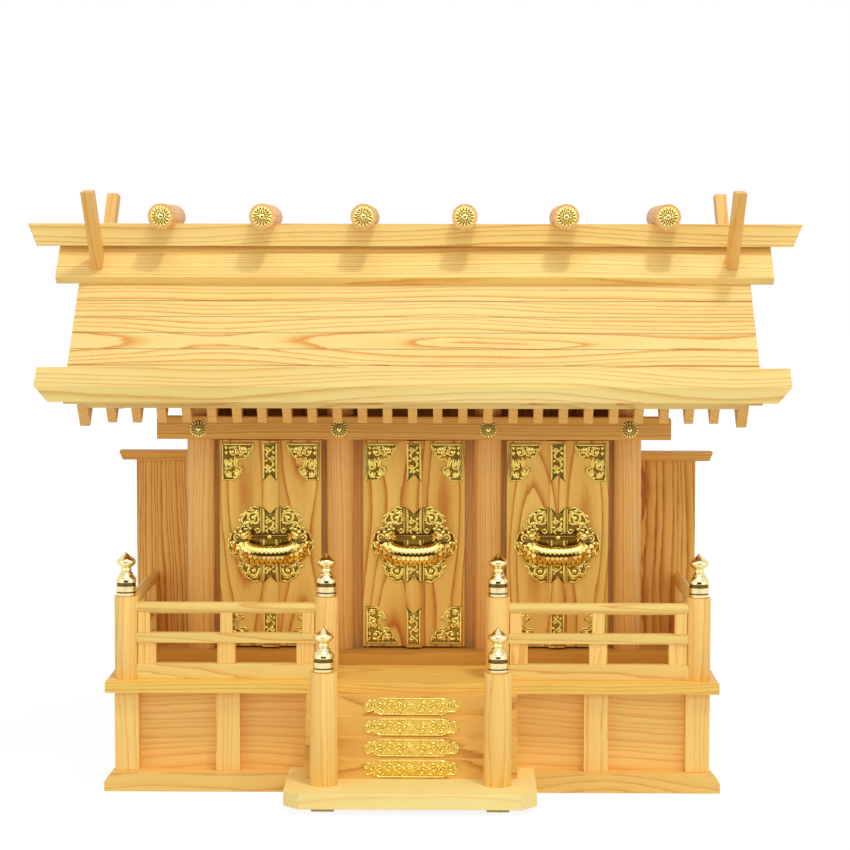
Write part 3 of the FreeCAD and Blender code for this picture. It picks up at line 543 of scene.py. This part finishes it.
class Sculpt:
    """A mesh being built in millimetres. place says where u, v and h lie. On a plate, u goes
    inward from the outer edge, v up or down from the start, and h out of what carries it."""

    def __init__(self):
        self.bm = bmesh.new()
        self.place = None

    def facing_front(self, x, y, z, side=1, up=1):
        self.place = lambda u, v, h: (x + side * u, y - h, z + up * v)

    def facing_back(self, x, y, z):
        self.place = lambda u, v, h: (x - u, y + h, z + v)

    def standing(self, x, y, z):
        self.place = lambda u, v, h: (x + u, y + v, z + h)

    def vert(self, u, v, h):
        return self.bm.verts.new([c * MM for c in self.place(u, v, h)])

    def face(self, verts, mat=0):
        f = self.bm.faces.new(verts)
        f.material_index = mat
        f.smooth = True

    def skin(self, rows, mat=0, caps=True):
        """Faces between closed rows of vertices; mat may be a function of the row's number."""
        for i in range(len(rows) - 1):
            a, b = rows[i], rows[i + 1]
            m = mat(i) if callable(mat) else mat
            for k in range(len(a)):
                q = (k + 1) % len(a)
                self.face((a[k], a[q], b[q], b[k]), m)
        if caps:
            end = mat(0) if callable(mat) else mat
            self.face(rows[0][::-1], end)
            self.face(rows[-1], end)

    def slab(self, outline, low, high, mat=0):
        self.skin([[self.vert(u, v, h) for u, v in outline] for h in (low, high)], mat)

    def ridge(self, line, width, height, base=0.0, closed=False, back=ROUND_BACK):
        """A bar laid along a line. width is a number, or a function of how far along the line
        it is, from 0 to 1, and then the bar is lower where it is narrow."""
        n = len(line)
        rows = []
        for i, (u, v) in enumerate(line):
            p = line[i - 1] if i or closed else line[0]
            q = line[(i + 1) % n] if i < n - 1 or closed else line[-1]
            du, dv = q[0] - p[0], q[1] - p[1]
            size = math.hypot(du, dv) or 1.0
            du, dv = du / size, dv / size
            w = width(i / (n - 1)) if callable(width) else width
            h = height * min(1.0, 0.25 + w) if callable(width) else height
            rows.append([self.vert(u - dv * s * w, v + du * s * w, base + c * h) for s, c in back])
        if closed:
            rows.append(rows[0])
        self.skin(rows, caps=not closed)

    def ball(self, u, v, h, radius, deep, mat=0, steps=10):
        """A round bead that stands deep over h."""
        rows = []
        for i in range(1, steps // 2):
            t = math.pi * i / (steps // 2)
            r = radius * math.sin(t)
            top = h + deep * math.cos(t)
            rows.append([self.vert(u + r * math.cos(a), v + r * math.sin(a), top) for a in circle(steps)])
        self.skin(rows, mat)

    def ring(self, u, v, h, radius, thick):
        rows = []
        for a in circle(RING_STEPS):
            row = []
            for b in circle(RING_SIDES):
                r = radius + thick * math.cos(b)
                row.append(self.vert(u + r * math.cos(a), v + r * math.sin(a), h + thick * math.sin(b)))
            rows.append(row)
        rows.append(rows[0])
        self.skin(rows, caps=False)

    def curl(self, u, v, radius, start, turns, width, height, leaves):
        """A vine curl that winds in from its start angle, with a bud in it and leaves outside."""
        def spot(t):
            a = math.radians(start) + 2 * math.pi * turns * t
            r = radius * (1 - WIND_IN * t)
            return u + r * math.cos(a), v + r * math.sin(a), a

        line = [spot(i / CURL_STEPS)[:2] for i in range(CURL_STEPS + 1)]
        self.ridge(line, lambda t: width * (1 - 0.45 * t), height, GROUND)
        self.ball(*line[-1], GROUND + 0.1, 0.62 * width, height)
        for k in range(leaves):
            x, y, a = spot(0.16 + 0.2 * k)
            self.leaf(x, y, a + math.copysign(0.9, turns), 0.66 * radius, 1.15 * width, height)

    def leaf(self, u, v, angle, length, width, height, base=GROUND):
        """A leaf that swells and comes to a point, bent a little to one side."""
        line = []
        for i in range(8):
            t = i / 7
            a = angle + 0.5 * t
            line.append((u + length * t * math.cos(a), v + length * t * math.sin(a)))
        self.ridge(line, lambda t: width * (0.12 + math.sin(math.pi * t ** 0.8)), height, base)

    def done(self, name, body, node, slot, *mats):
        """The mesh becomes a piece that rides a body in place of a node of the source."""
        bmesh.ops.remove_doubles(self.bm, verts=self.bm.verts, dist=1e-7)
        bmesh.ops.recalc_face_normals(self.bm, faces=self.bm.faces)
        me = bpy.data.meshes.new(name)
        self.bm.to_mesh(me)
        self.bm.free()
        me.set_sharp_from_angle(angle=math.radians(50))
        for m in mats:
            me.materials.append(m)
        obj = bpy.data.objects.new(name, me)
        bpy.context.scene.collection.objects.link(obj)
        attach(obj, body)
        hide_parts(node)


def arc(u, v, radius, a0, a1, steps, bumps=0, amount=0.0):
    """Points along an arc, whose edge may swell in rounded bumps."""
    line = []
    for i in range(steps + 1):
        t = i / steps
        a = math.radians(a0 + (a1 - a0) * t)
        r = radius + amount * (abs(math.sin(math.pi * bumps * t)) - 0.5)
        line.append((u + r * math.cos(a), v + r * math.sin(a)))
    return line


def wave(a, b, amount, bumps, steps):
    """A line from a to b whose edge swells in rounded bumps to its left."""
    line = []
    du, dv = b[0] - a[0], b[1] - a[1]
    size = math.hypot(du, dv)
    for i in range(steps):
        t = i / steps
        s = amount * (abs(math.sin(math.pi * bumps * t)) - 0.2)
        line.append((a[0] + du * t - dv / size * s, a[1] + dv * t + du / size * s))
    return line


def inset(outline, amount):
    """The outline moved inward, for the raised rim that runs along it."""
    out = []
    area = sum(a[0] * b[1] - b[0] * a[1] for a, b in zip(outline, outline[1:] + outline[:1]))
    turn = math.copysign(amount, area)
    n = len(outline)
    for i in range(n):
        p, c, q = outline[i - 1], outline[i], outline[(i + 1) % n]
        d1 = Vector((c[0] - p[0], c[1] - p[1])).normalized()
        d2 = Vector((q[0] - c[0], q[1] - c[1])).normalized()
        m = Vector((-d1.y - d2.y, d1.x + d2.x))
        m = m / max(m.length_squared, 0.6) * 2 * turn
        out.append((c[0] + m.x, c[1] + m.y))
    return out


def rimmed_plate(s, outline, rim):
    """A mount's sunk ground with a flat raised rim along its edge."""
    s.slab(outline, 0.0, GROUND, 1)
    edge = inset(outline, RIM_INSET)
    s.ridge(edge, rim, RELIEF + RIM_OVER, GROUND - RIM_UNDER, closed=True, back=FLAT_BACK)


def corner_mount(s, x, y, z, side, up):
    """The mount in a leaf's corner: a right angle with a scalloped, notched edge across it."""
    s.facing_front(x, y, z, side, up)
    w, h = CORNER_W, CORNER_H
    outline = [(0, 0), (w, 0), (w, 0.08 * h)]
    outline += wave((w, 0.1 * h), (0.76 * w, 0.4 * h), -0.6, 2, 12)
    outline += arc(*CORNER_NOTCH, NOTCH_R, -50, -300, 10)
    outline += wave((0.66 * w, 0.67 * h), (0.43 * w, 0.95 * h), -0.6, 2, 12)
    outline += [(0.4 * w, h), (0, h)]
    rimmed_plate(s, outline, CORNER_RIM)
    for straight in ([(0.85, 1.6), (0.85, 0.9 * h)], [(1.6, 0.85), (0.9 * w, 0.85)]):
        s.ridge(straight, CORNER_RIM, 0.3, PROUD - 0.05, back=FLAT_BACK)
    for u, v, radius, start, turns in CORNER_CURLS:
        s.curl(u * w, v * h, radius, start, turns, CORNER_CURL_W, RELIEF, 2)
    s.ridge(arc(*CORNER_NOTCH, NOTCH_R + 1.9, -70, -290, 14), 1.5, RELIEF, GROUND)
    for u, v, a, length in CORNER_LEAVES:
        s.leaf(u * w, v * h, math.radians(a), length, CORNER_LEAF_W, RELIEF)


def vine(s, v0, v1, swing):
    """A stem that snakes along a narrow plate with a curl and a leaf in each bend."""
    bends = max(2, round((v1 - v0) / VINE_BEND))
    steps = bends * 8
    line = []
    for i in range(steps + 1):
        t = i / steps
        line.append((swing * 0.75 * math.cos(math.pi * bends * t), v0 + (v1 - v0) * t))
    s.ridge(line, VINE_W, RELIEF, GROUND)
    for k in range(bends):
        v = v0 + (v1 - v0) * (k + 0.5) / bends
        d = 1 if k % 2 == 0 else -1
        s.curl(d * -swing * 0.35, v, 2.0, 90 + 90 * d, 0.9 * d, 2.0, RELIEF, 1)
        s.leaf(d * swing * 0.5, v, math.radians(90 - 50 * d), 3.0, 2.1, RELIEF)


def strip_mount(s, x, y, z, up):
    """The narrow plate at an end of the strip, cut to a swallow tail at its inner end."""
    s.facing_front(x, y, z, 1, up)
    w, h = STRIP_PLATE_HALF, CORNER_H
    rimmed_plate(s, [(-w, 0), (w, 0), (w, h), (0, h - w), (-w, h)], RIM)
    vine(s, 2.0, h - w - 1.0, w - 1.6)
    s.leaf(0, h - w - 3.4, math.radians(78), 3.2, 2.2, RELIEF)


def medal_mount(s, x, y, z, side):
    """One leaf's half of the round cloud-shaped mount behind the lock."""
    s.facing_front(x, y, z, side, 1)
    w, h = MEDAL_W / 2, MEDAL_H / 2
    inner = STRIP_HALF + 0.3
    r = 0.38 * w
    outline = [(inner, h * 0.985)]
    outline += arc(0.3 * w, 0.58 * h, r, 88, -6, 20, 3, 1.1)
    outline += arc(0.62 * w, 0.0, r, 52, -52, 24, 4, 1.0)
    outline += arc(0.3 * w, -0.58 * h, r, 6, -88, 20, 3, 1.1)
    outline += [(inner, -h * 0.985)]
    rimmed_plate(s, outline, RIM)
    for d in (-1, 1):
        for u, v, radius, start, turns, width, leaves in MEDAL_CURLS:
            s.curl(u * w, d * v * h, radius, start * d, turns * d, width, RELIEF, leaves)
        for u, v, a, length in MEDAL_LEAVES:
            s.leaf(u * w, d * v * h, math.radians(a * d), length, MEDAL_LEAF_W, RELIEF)


def medal_strip(s, x, y, z):
    """The part of that mount on the strip, with a swallow tail at both ends."""
    s.facing_front(x, y, z)
    w, h = STRIP_PLATE_HALF, MEDAL_H / 2
    rimmed_plate(s, [(-w, h), (0, h - w), (w, h), (w, -h), (0, w - h), (-w, -h)], RIM)
    for up in (-1, 1):
        s.facing_front(x, y, z, 1, up)
        vine(s, 4.0, h - w - 1.6, w - 1.6)


def crescent(t):
    """A place on the lock's middle line, from -1 at one head through the bottom to 1."""
    a = CRESCENT_TURN * t
    u = math.copysign(abs(math.sin(a)) ** 0.75, a) * LOCK_REACH
    return u, -LOCK_DROP * math.cos(a) ** 0.6


def lock_depth(u):
    """How far over the leaf the lock's back and front stand at a place along it. The front
    falls away at the ends, so that the open leaf's lock goes round the pillar."""
    t = min(1.0, abs(u) / LOCK_HALF)
    return LOCK_BACK - BACK_FALL * t ** 2, LOCK_FRONT - FRONT_FALL * t ** 3


def lock_skin(t, b):
    """A place on the crescent's skin: t runs along it from head to head, b round it."""
    cu, cv = crescent(t)
    (pu, pv), (qu, qv) = crescent(max(t - 0.01, -1)), crescent(min(t + 0.01, 1))
    size = math.dist((pu, pv), (qu, qv))
    close = math.sqrt(max(0.02, 1 - max(0.0, (abs(t) - 0.9) / 0.1) ** 2))
    rad = (LOCK_FAT - 0.4) * close * math.cos(b)
    u = cu + rad * (qv - pv) / size
    near, front = lock_depth(u)
    h = (front + near) / 2 + ((front - near) / 2 - 0.3) * close * math.sin(b)
    return Vector((u, cv - rad * (qu - pu) / size, h))


def flake(s, centre, along, down, out):
    """One fish scale: a round flake whose free edge stands off the body."""
    rows = []
    for q in (0.25, 0.5, 0.75, 1.0):
        row = []
        for a in circle(SCALE_SIDES):
            u, v = q * math.cos(a), q * math.sin(a)
            lift = (0.32 * (1 - q * q) + 0.26 * v) * SCALE
            row.append(s.vert(*(centre + along * SCALE_WIDE * u + down * SCALE_LONG * v + out * lift)))
        rows.append(row)
    foot = []
    for a in circle(SCALE_SIDES):
        side, drop = SCALE_FOOT * math.cos(a), SCALE_FOOT * math.sin(a)
        foot.append(s.vert(*(centre + along * side + down * drop - out * 0.5)))
    s.skin(rows + [foot])


def crescent_lengths():
    """How far along the crescent each of its parts ends."""
    spots = [crescent(-1 + 2 * i / CRESCENT_PARTS) for i in range(CRESCENT_PARTS + 1)]
    lengths = [0.0]
    for a, b in zip(spots, spots[1:]):
        lengths.append(lengths[-1] + math.dist(a, b))
    return lengths


def lock_scales(s):
    """Rows of scales, every second one moved by half a scale, up to near the heads."""
    lengths = crescent_lengths()
    whole = lengths[-1]
    count = int(whole / SCALE)
    for row in range(SCALE_ROWS):
        b = math.pi * (0.06 + 0.88 * row / (SCALE_ROWS - 1))
        for k in range(count):
            want = (k + 0.3 + 0.5 * (row % 2)) * whole / (count + 0.1)
            part = next(i for i, v in enumerate(lengths) if v >= want)
            t = -1 + 2 * part / CRESCENT_PARTS
            if abs(t) > SCALED_PART:
                continue
            along = (lock_skin(t + 0.01, b) - lock_skin(t - 0.01, b)).normalized()
            down = (lock_skin(t, b - 0.05) - lock_skin(t, b + 0.05)).normalized()
            flake(s, lock_skin(t, b), along, down, along.cross(down))


def lock_body(s):
    """The crescent: a curved body that lifts to a head at each end, with its scales."""
    steps = 90
    rows = []
    for i in range(steps + 1):
        rows.append([s.vert(*lock_skin(-1 + 2 * i / steps, b)) for b in circle(24)])
    s.skin(rows)
    lock_scales(s)


def lock_bar(s):
    """The straight bar between the heads, with a small boss in its middle."""
    steps = 20
    rows = []
    for i in range(steps + 1):
        u = BAR_HALF * (-1 + 2 * i / steps)
        m = sum(lock_depth(u)) / 2 + 0.3
        rows.append([s.vert(u, BAR_TALL * math.cos(b), m + BAR_DEEP * math.sin(b)) for b in circle(16)])
    # The bar takes the darker gilt: a painted dark reflection.
    s.skin(rows, 1)
    s.ball(0, 0, lock_depth(0)[1] - 0.5, 1.6, 0.95)


def lock_head(s, side):
    """A head where bar and crescent meet: eyes with rings, beads, a collar and a beard."""
    s.ball(side * 20.5, -1.6, -1.6, 5.6, 1.8, mat=1, steps=20)
    for u, v, r in LOCK_EYES:
        s.ball(side * u, v, -1.0, r, 1.1)
        s.ring(side * u, v, -0.4, r * 0.78, 0.5)
        s.ball(side * u, v, -0.2, r * 0.34, 1.0)
    for u, v, r in LOCK_BEADS:
        s.ball(side * u, v, -0.9, r, 1.1)
    s.ball(side * 14.2, 0, -2.6, 2.3, 2.2, mat=1)
    for up in (-34, 0, 34):
        turn = math.radians(180 - up if side > 0 else up) - 0.25
        s.leaf(side * 15.6, 0, turn, 4.6, 1.5, 1.0, base=-0.4)


def lock_mount(s, x, y, z):
    """The arched lock: scaled crescent, straight bar, and a head at each end. The heads are
    bent with the front of the lock, so their h starts there."""
    s.facing_front(x, y, z)
    lock_body(s)
    lock_bar(s)
    s.place = lambda u, v, h: (x + u, y - lock_depth(u)[1] - h, z + v)
    for side in (-1, 1):
        lock_head(s, side)


def petal_height(q, a):
    """A rosette's relief, 0 to 1, at a share of its radius and an angle."""
    long = math.cos(PETALS * a / 2) ** 2
    if q <= BOSS_EDGE:
        return 0.72 + 0.28 * math.cos(q / BOSS_EDGE * math.pi / 2)
    if q <= SHORT_EDGE:
        short = math.sin(PETALS * a / 2) ** 2
        t = (q - BOSS_EDGE) / (SHORT_EDGE - BOSS_EDGE)
        return 0.32 + 0.52 * short ** 0.5 * math.sin(math.pi * min(1, 0.25 + 0.6 * t))
    t = (q - SHORT_EDGE) / (1 - SHORT_EDGE)
    return (0.08 + 0.66 * long ** 0.5) * math.cos(t ** 2.2 * math.pi / 2 * 0.8)


def rosette(s, radius, thick):
    """A sixteen-petalled chrysanthemum: a row of long petals, a shorter row, and a boss."""
    angles = circle(PETALS * STEPS_A_PETAL)
    rows = []
    for q in ROSETTE_CIRCLES:
        row = []
        for a in angles:
            notch = 0.07 * (1 - abs(math.cos(PETALS * a / 2))) if q > 0.8 else 0.0
            r = q * radius * (1 - notch)
            row.append(s.vert(r * math.sin(a), r * math.cos(a), petal_height(q, a) * thick))
        rows.append(row)
    foot = 0.97 * radius
    rows.append([s.vert(foot * math.sin(a), foot * math.cos(a), 0) for a in angles])
    s.skin(rows)


def log_rosettes():
    s = Sculpt()
    lo, hi = corners("log_rosettes")
    z = (lo[2] + hi[2]) / 2
    for x in LOG_XS:
        s.facing_front(x, lo[1] + ROSETTE_THICK, z)
        rosette(s, LOG_ROSETTE, ROSETTE_THICK)
        s.facing_back(x, hi[1] - ROSETTE_THICK, z)
        rosette(s, LOG_ROSETTE, ROSETTE_THICK)
    s.done("log_end_rosettes", "altar", "log_rosettes", "gilt_brass", ROSE_GOLD)


def beam_rosettes():
    s = Sculpt()
    lo, hi = corners("beam_rosettes")
    for x in PILLAR_XS:
        s.facing_front(x, hi[1], (lo[2] + hi[2]) / 2)
        rosette(s, BEAM_ROSETTE, hi[1] - lo[1])
    s.done("beam_nail_rosettes", "altar", "beam_rosettes", "gilt_brass", ROSE_GOLD)


def onion_cap(s, x, y, z):
    """An onion-shaped cap, turned on a lathe."""
    s.standing(x, y, z)
    rows = []
    for r, up, _ in CAP_PROFILE:
        rows.append([s.vert(r * math.cos(a), r * math.sin(a), up) for a in circle(CAP_SIDES)])
    s.skin(rows, lambda i: CAP_PROFILE[i][2])


def onion_caps():
    """The caps of the railing's posts and of the stair's."""
    s = Sculpt()
    for post, xs in (("railing_posts", RAIL_POST_XS), ("newel_posts", NEWEL_XS)):
        for x in xs:
            onion_cap(s, x, middle(post)[1], corners(post)[1][2])
    s.done("onion_caps", "altar", "finials", "finial_gold", CAP_GOLD, CAP_DARK)


def riser_outline(half, tall):
    """A long plate whose ends step in twice on round lobes."""
    quarter = [(0.62 * half, tall)]
    quarter += arc(0.66 * half, 0.25 * tall, 0.66 * tall, 80, 20, 6)
    quarter += arc(0.86 * half, 0.1 * tall, 0.62 * tall, 105, 20, 6)
    quarter += [(half, 0)]
    right = quarter + [(u, -v) for u, v in quarter[-2::-1]]
    return right + [(-u, -v) for u, v in right]


def riser_vine(s, half, tall, d):
    """One end of a riser's plate: curls and leaves, and a nail in a ring of leaves."""
    for u, v, radius, way, width, height, leaves in RISER_CURLS:
        s.curl(d * u * half, v * tall, radius, 90 - 90 * d * way, 1.2 * d * way, width, height, leaves)
    for q in (0.14, 0.34, 0.55, 0.72):
        for up in (-1, 1):
            s.leaf(d * q * half, up * 0.62 * tall, math.radians(90 - 70 * d) * up, 2.8, 1.5, 0.6)
    nail = d * 0.9 * half
    s.ball(nail, 0, GROUND, 0.9, 0.7, 1)
    s.ring(nail, 0, GROUND + 0.1, 1.2, 0.35)
    for a in (-60, -20, 20, 60):
        s.leaf(nail, 0, math.radians(a) + (math.pi if d < 0 else 0), 2.2, 1.2, 0.5)


def riser_mount(s, y, z):
    """A long embossed plate: a flower in the middle and a vine to each end."""
    s.facing_front(0, y, z)
    half, tall = RISER_HALF, RISER_TALL
    outline = riser_outline(half, tall)
    s.slab(outline, 0.0, GROUND, 1)
    s.ridge(inset(outline, 0.4), 0.8, 0.5, GROUND - RIM_UNDER, closed=True)
    for up in (1, -1):
        edge = up * (tall - 0.45)
        s.ridge([(-0.6 * half, edge), (0.6 * half, edge)], 0.9, 0.8, GROUND, back=FLAT_BACK)
    s.ball(0, 0, GROUND, 1.3, 1.1)
    for a in circle(8):
        s.leaf(0, 0, a, 3.6, 1.7, 0.6)
    for d in (-1, 1):
        riser_vine(s, half, tall, d)


def riser_mounts():
    """A plate on each riser, from the lowest in front to the highest behind."""
    s = Sculpt()
    lo, hi = corners("step_plates")
    for k in range(RISERS):
        t = k / (RISERS - 1)
        y = lo[1] + RISER_THICK + t * (hi[1] - lo[1] - RISER_THICK)
        z = lo[2] + RISER_TALL + t * (hi[2] - lo[2] - 2 * RISER_TALL)
        riser_mount(s, y, z)
    s.done("riser_mounts", "altar", "step_plates", "gilt_brass", GOLD, GOLD_MID)


def leaf_mounts(bay, x, part, side):
    """The mounts of one leaf. The lead leaf, on the left, also has those of the strip."""
    node = "door_" + bay + "_" + part
    lo, hi = corners("door_" + bay + "_second_fittings")
    y, top, bottom = hi[1], hi[2], lo[2]
    edge = x + side * (hi[0] - x)
    s = Sculpt()
    corner_mount(s, edge, y, top, -side, -1)
    corner_mount(s, edge, y, bottom, -side, 1)
    medal_mount(s, x, y, MEDAL_Z, side)
    if part == "lead":
        strip_y = corners(node)[0][1]
        strip_mount(s, x, strip_y, top, -1)
        strip_mount(s, x, strip_y, bottom, 1)
        medal_strip(s, x, strip_y, MEDAL_Z)
    body = bay + "_door_" + part + "_leaf"
    # Its sunk ground takes the darkened gilt: painted shade.
    s.done(node + "_mounts", body, node + "_fittings", "gilt_brass", GOLD, GOLD_SHADED_GROUND)


def scaled_lock(bay, x):
    """The lock of one bay, which rides on the lead leaf."""
    door = "door_" + bay
    front = corners(door + "_second_fittings")[1][1]
    s = Sculpt()
    lock_mount(s, x, front, LOCK_Z)
    s.done(door + "_scaled_lock", bay + "_door_lead_leaf", door + "_lock", "lock_gold", LOCK_GOLD, LOCK_DARK)


def door_mounts():
    for bay, x in BAYS.items():
        leaf_mounts(bay, x, "lead", -1)
        leaf_mounts(bay, x, "second", 1)
        scaled_lock(bay, x)


def seen_directly(nt):
    """1 for what the camera, a mirror or glass shows, and 0 for light on its way round."""
    path = nt.nodes.new("ShaderNodeLightPath")
    seen = path.outputs["Is Camera Ray"]
    for other in ("Is Glossy Ray", "Is Transmission Ray"):
        either = nt.nodes.new("ShaderNodeMath")
        either.operation = "MAXIMUM"
        nt.links.new(seen, either.inputs[0])
        nt.links.new(path.outputs[other], either.inputs[1])
        seen = either.outputs[0]
    return seen


def sheet(name, size, mat):
    """A square sheet that lies flat round the origin."""
    bm = bmesh.new()
    bmesh.ops.create_grid(bm, x_segments=1, y_segments=1, size=size)
    me = bpy.data.meshes.new(name)
    bm.to_mesh(me)
    bm.free()
    me.materials.append(mat)
    obj = bpy.data.objects.new(name, me)
    bpy.context.scene.collection.objects.link(obj)
    return obj


def white_floor():
    """A floor that throws light back as a pale one does, and shows white with a faint shadow."""
    t = Tree("floor_white")
    seen = seen_directly(t.nt)
    far = t.ramp(t.math("DIVIDE", t.vec("LENGTH", t.place()), 3.0), [(0.1, 0.9), (0.5, 1.0)])
    t.put(t.bsdf.inputs["Base Color"], t.choose("RGBA", seen, FLOOR_FOR_LIGHT, FLOOR_SEEN))
    t.bsdf.inputs["Roughness"].default_value = 0.9
    t.bsdf.inputs["Specular IOR Level"].default_value = 0.0
    t.bsdf.inputs["Emission Color"].default_value = WHITE
    t.put(t.bsdf.inputs["Emission Strength"], t.math("MULTIPLY", seen, far))
    floor = sheet("studio_floor", 8.0, t.mat)


def white_sky():
    """A sky that shows white and lights the altar with half that strength."""
    world = bpy.data.worlds.new("studio")
    bpy.context.scene.world = world
    world.use_nodes = True
    nt = world.node_tree
    strength = nt.nodes.new("ShaderNodeMix")
    strength.data_type = "FLOAT"
    nt.links.new(seen_directly(nt), strength.inputs[0])
    strength.inputs[2].default_value = 0.5
    strength.inputs[3].default_value = 1.0
    sky = nt.nodes["Background"]
    nt.links.new(strength.outputs[0], sky.inputs["Strength"])
    sky.inputs["Color"].default_value = WHITE


def dark_card(name, place, size, tilt):
    """A dark cloth behind or below the camera, which only the metal sees."""
    t = Tree(name)
    t.put(t.bsdf.inputs["Base Color"], t.ramp(t.noise(t.place(), 4.0), [(0.3, 0.01), (0.7, 0.02)]))
    t.bsdf.inputs["Roughness"].default_value = 1.0
    card = sheet(name, 0.5, t.mat)
    turned = Matrix.Translation(place) @ Matrix.Rotation(tilt, 4, "X")
    card.matrix_world = turned @ Matrix.Diagonal((*size, 1, 1))
    card.visible_camera = False
    card.visible_diffuse = False
    card.visible_shadow = False


def lamp(name, place, size, power):
    data = bpy.data.lights.new(name, "AREA")
    data.shape = "RECTANGLE"
    data.size, data.size_y = size
    data.energy = power
    obj = bpy.data.objects.new(name, data)
    bpy.context.scene.collection.objects.link(obj)
    obj.location = place
    obj.rotation_mode = "QUATERNION"
    obj.rotation_quaternion = (Vector(LAMP_TARGET) - Vector(place)).to_track_quat("-Z", "Y")


def camera():
    data = bpy.data.cameras.new("camera")
    data.sensor_width = SENSOR
    data.lens = SENSOR * FOCAL / PHOTO_SIDE
    data.clip_start, data.clip_end = 0.05, 50.0
    cam = bpy.data.objects.new("camera", data)
    bpy.context.scene.collection.objects.link(cam)
    turn = Matrix.Rotation(CAMERA_TURN, 4, "Z") @ Matrix.Rotation(math.pi / 2 - CAMERA_TILT, 4, "X")
    turn = turn @ Matrix.Rotation(CAMERA_ROLL, 4, "Z")
    cam.matrix_world = Matrix.Translation(CAMERA_PLACE) @ turn
    bpy.context.scene.camera = cam


roof_woods()
body_woods()
base_woods()
dress_wood()
dress_metal()

door_mounts()
log_rosettes()
beam_rosettes()
onion_caps()
riser_mounts()

white_floor()
white_sky()
for card in CARDS:
    dark_card(*card)
for light in LAMPS:
    lamp(*light)
camera()
bpy.context.scene.view_settings.view_transform = "Standard"
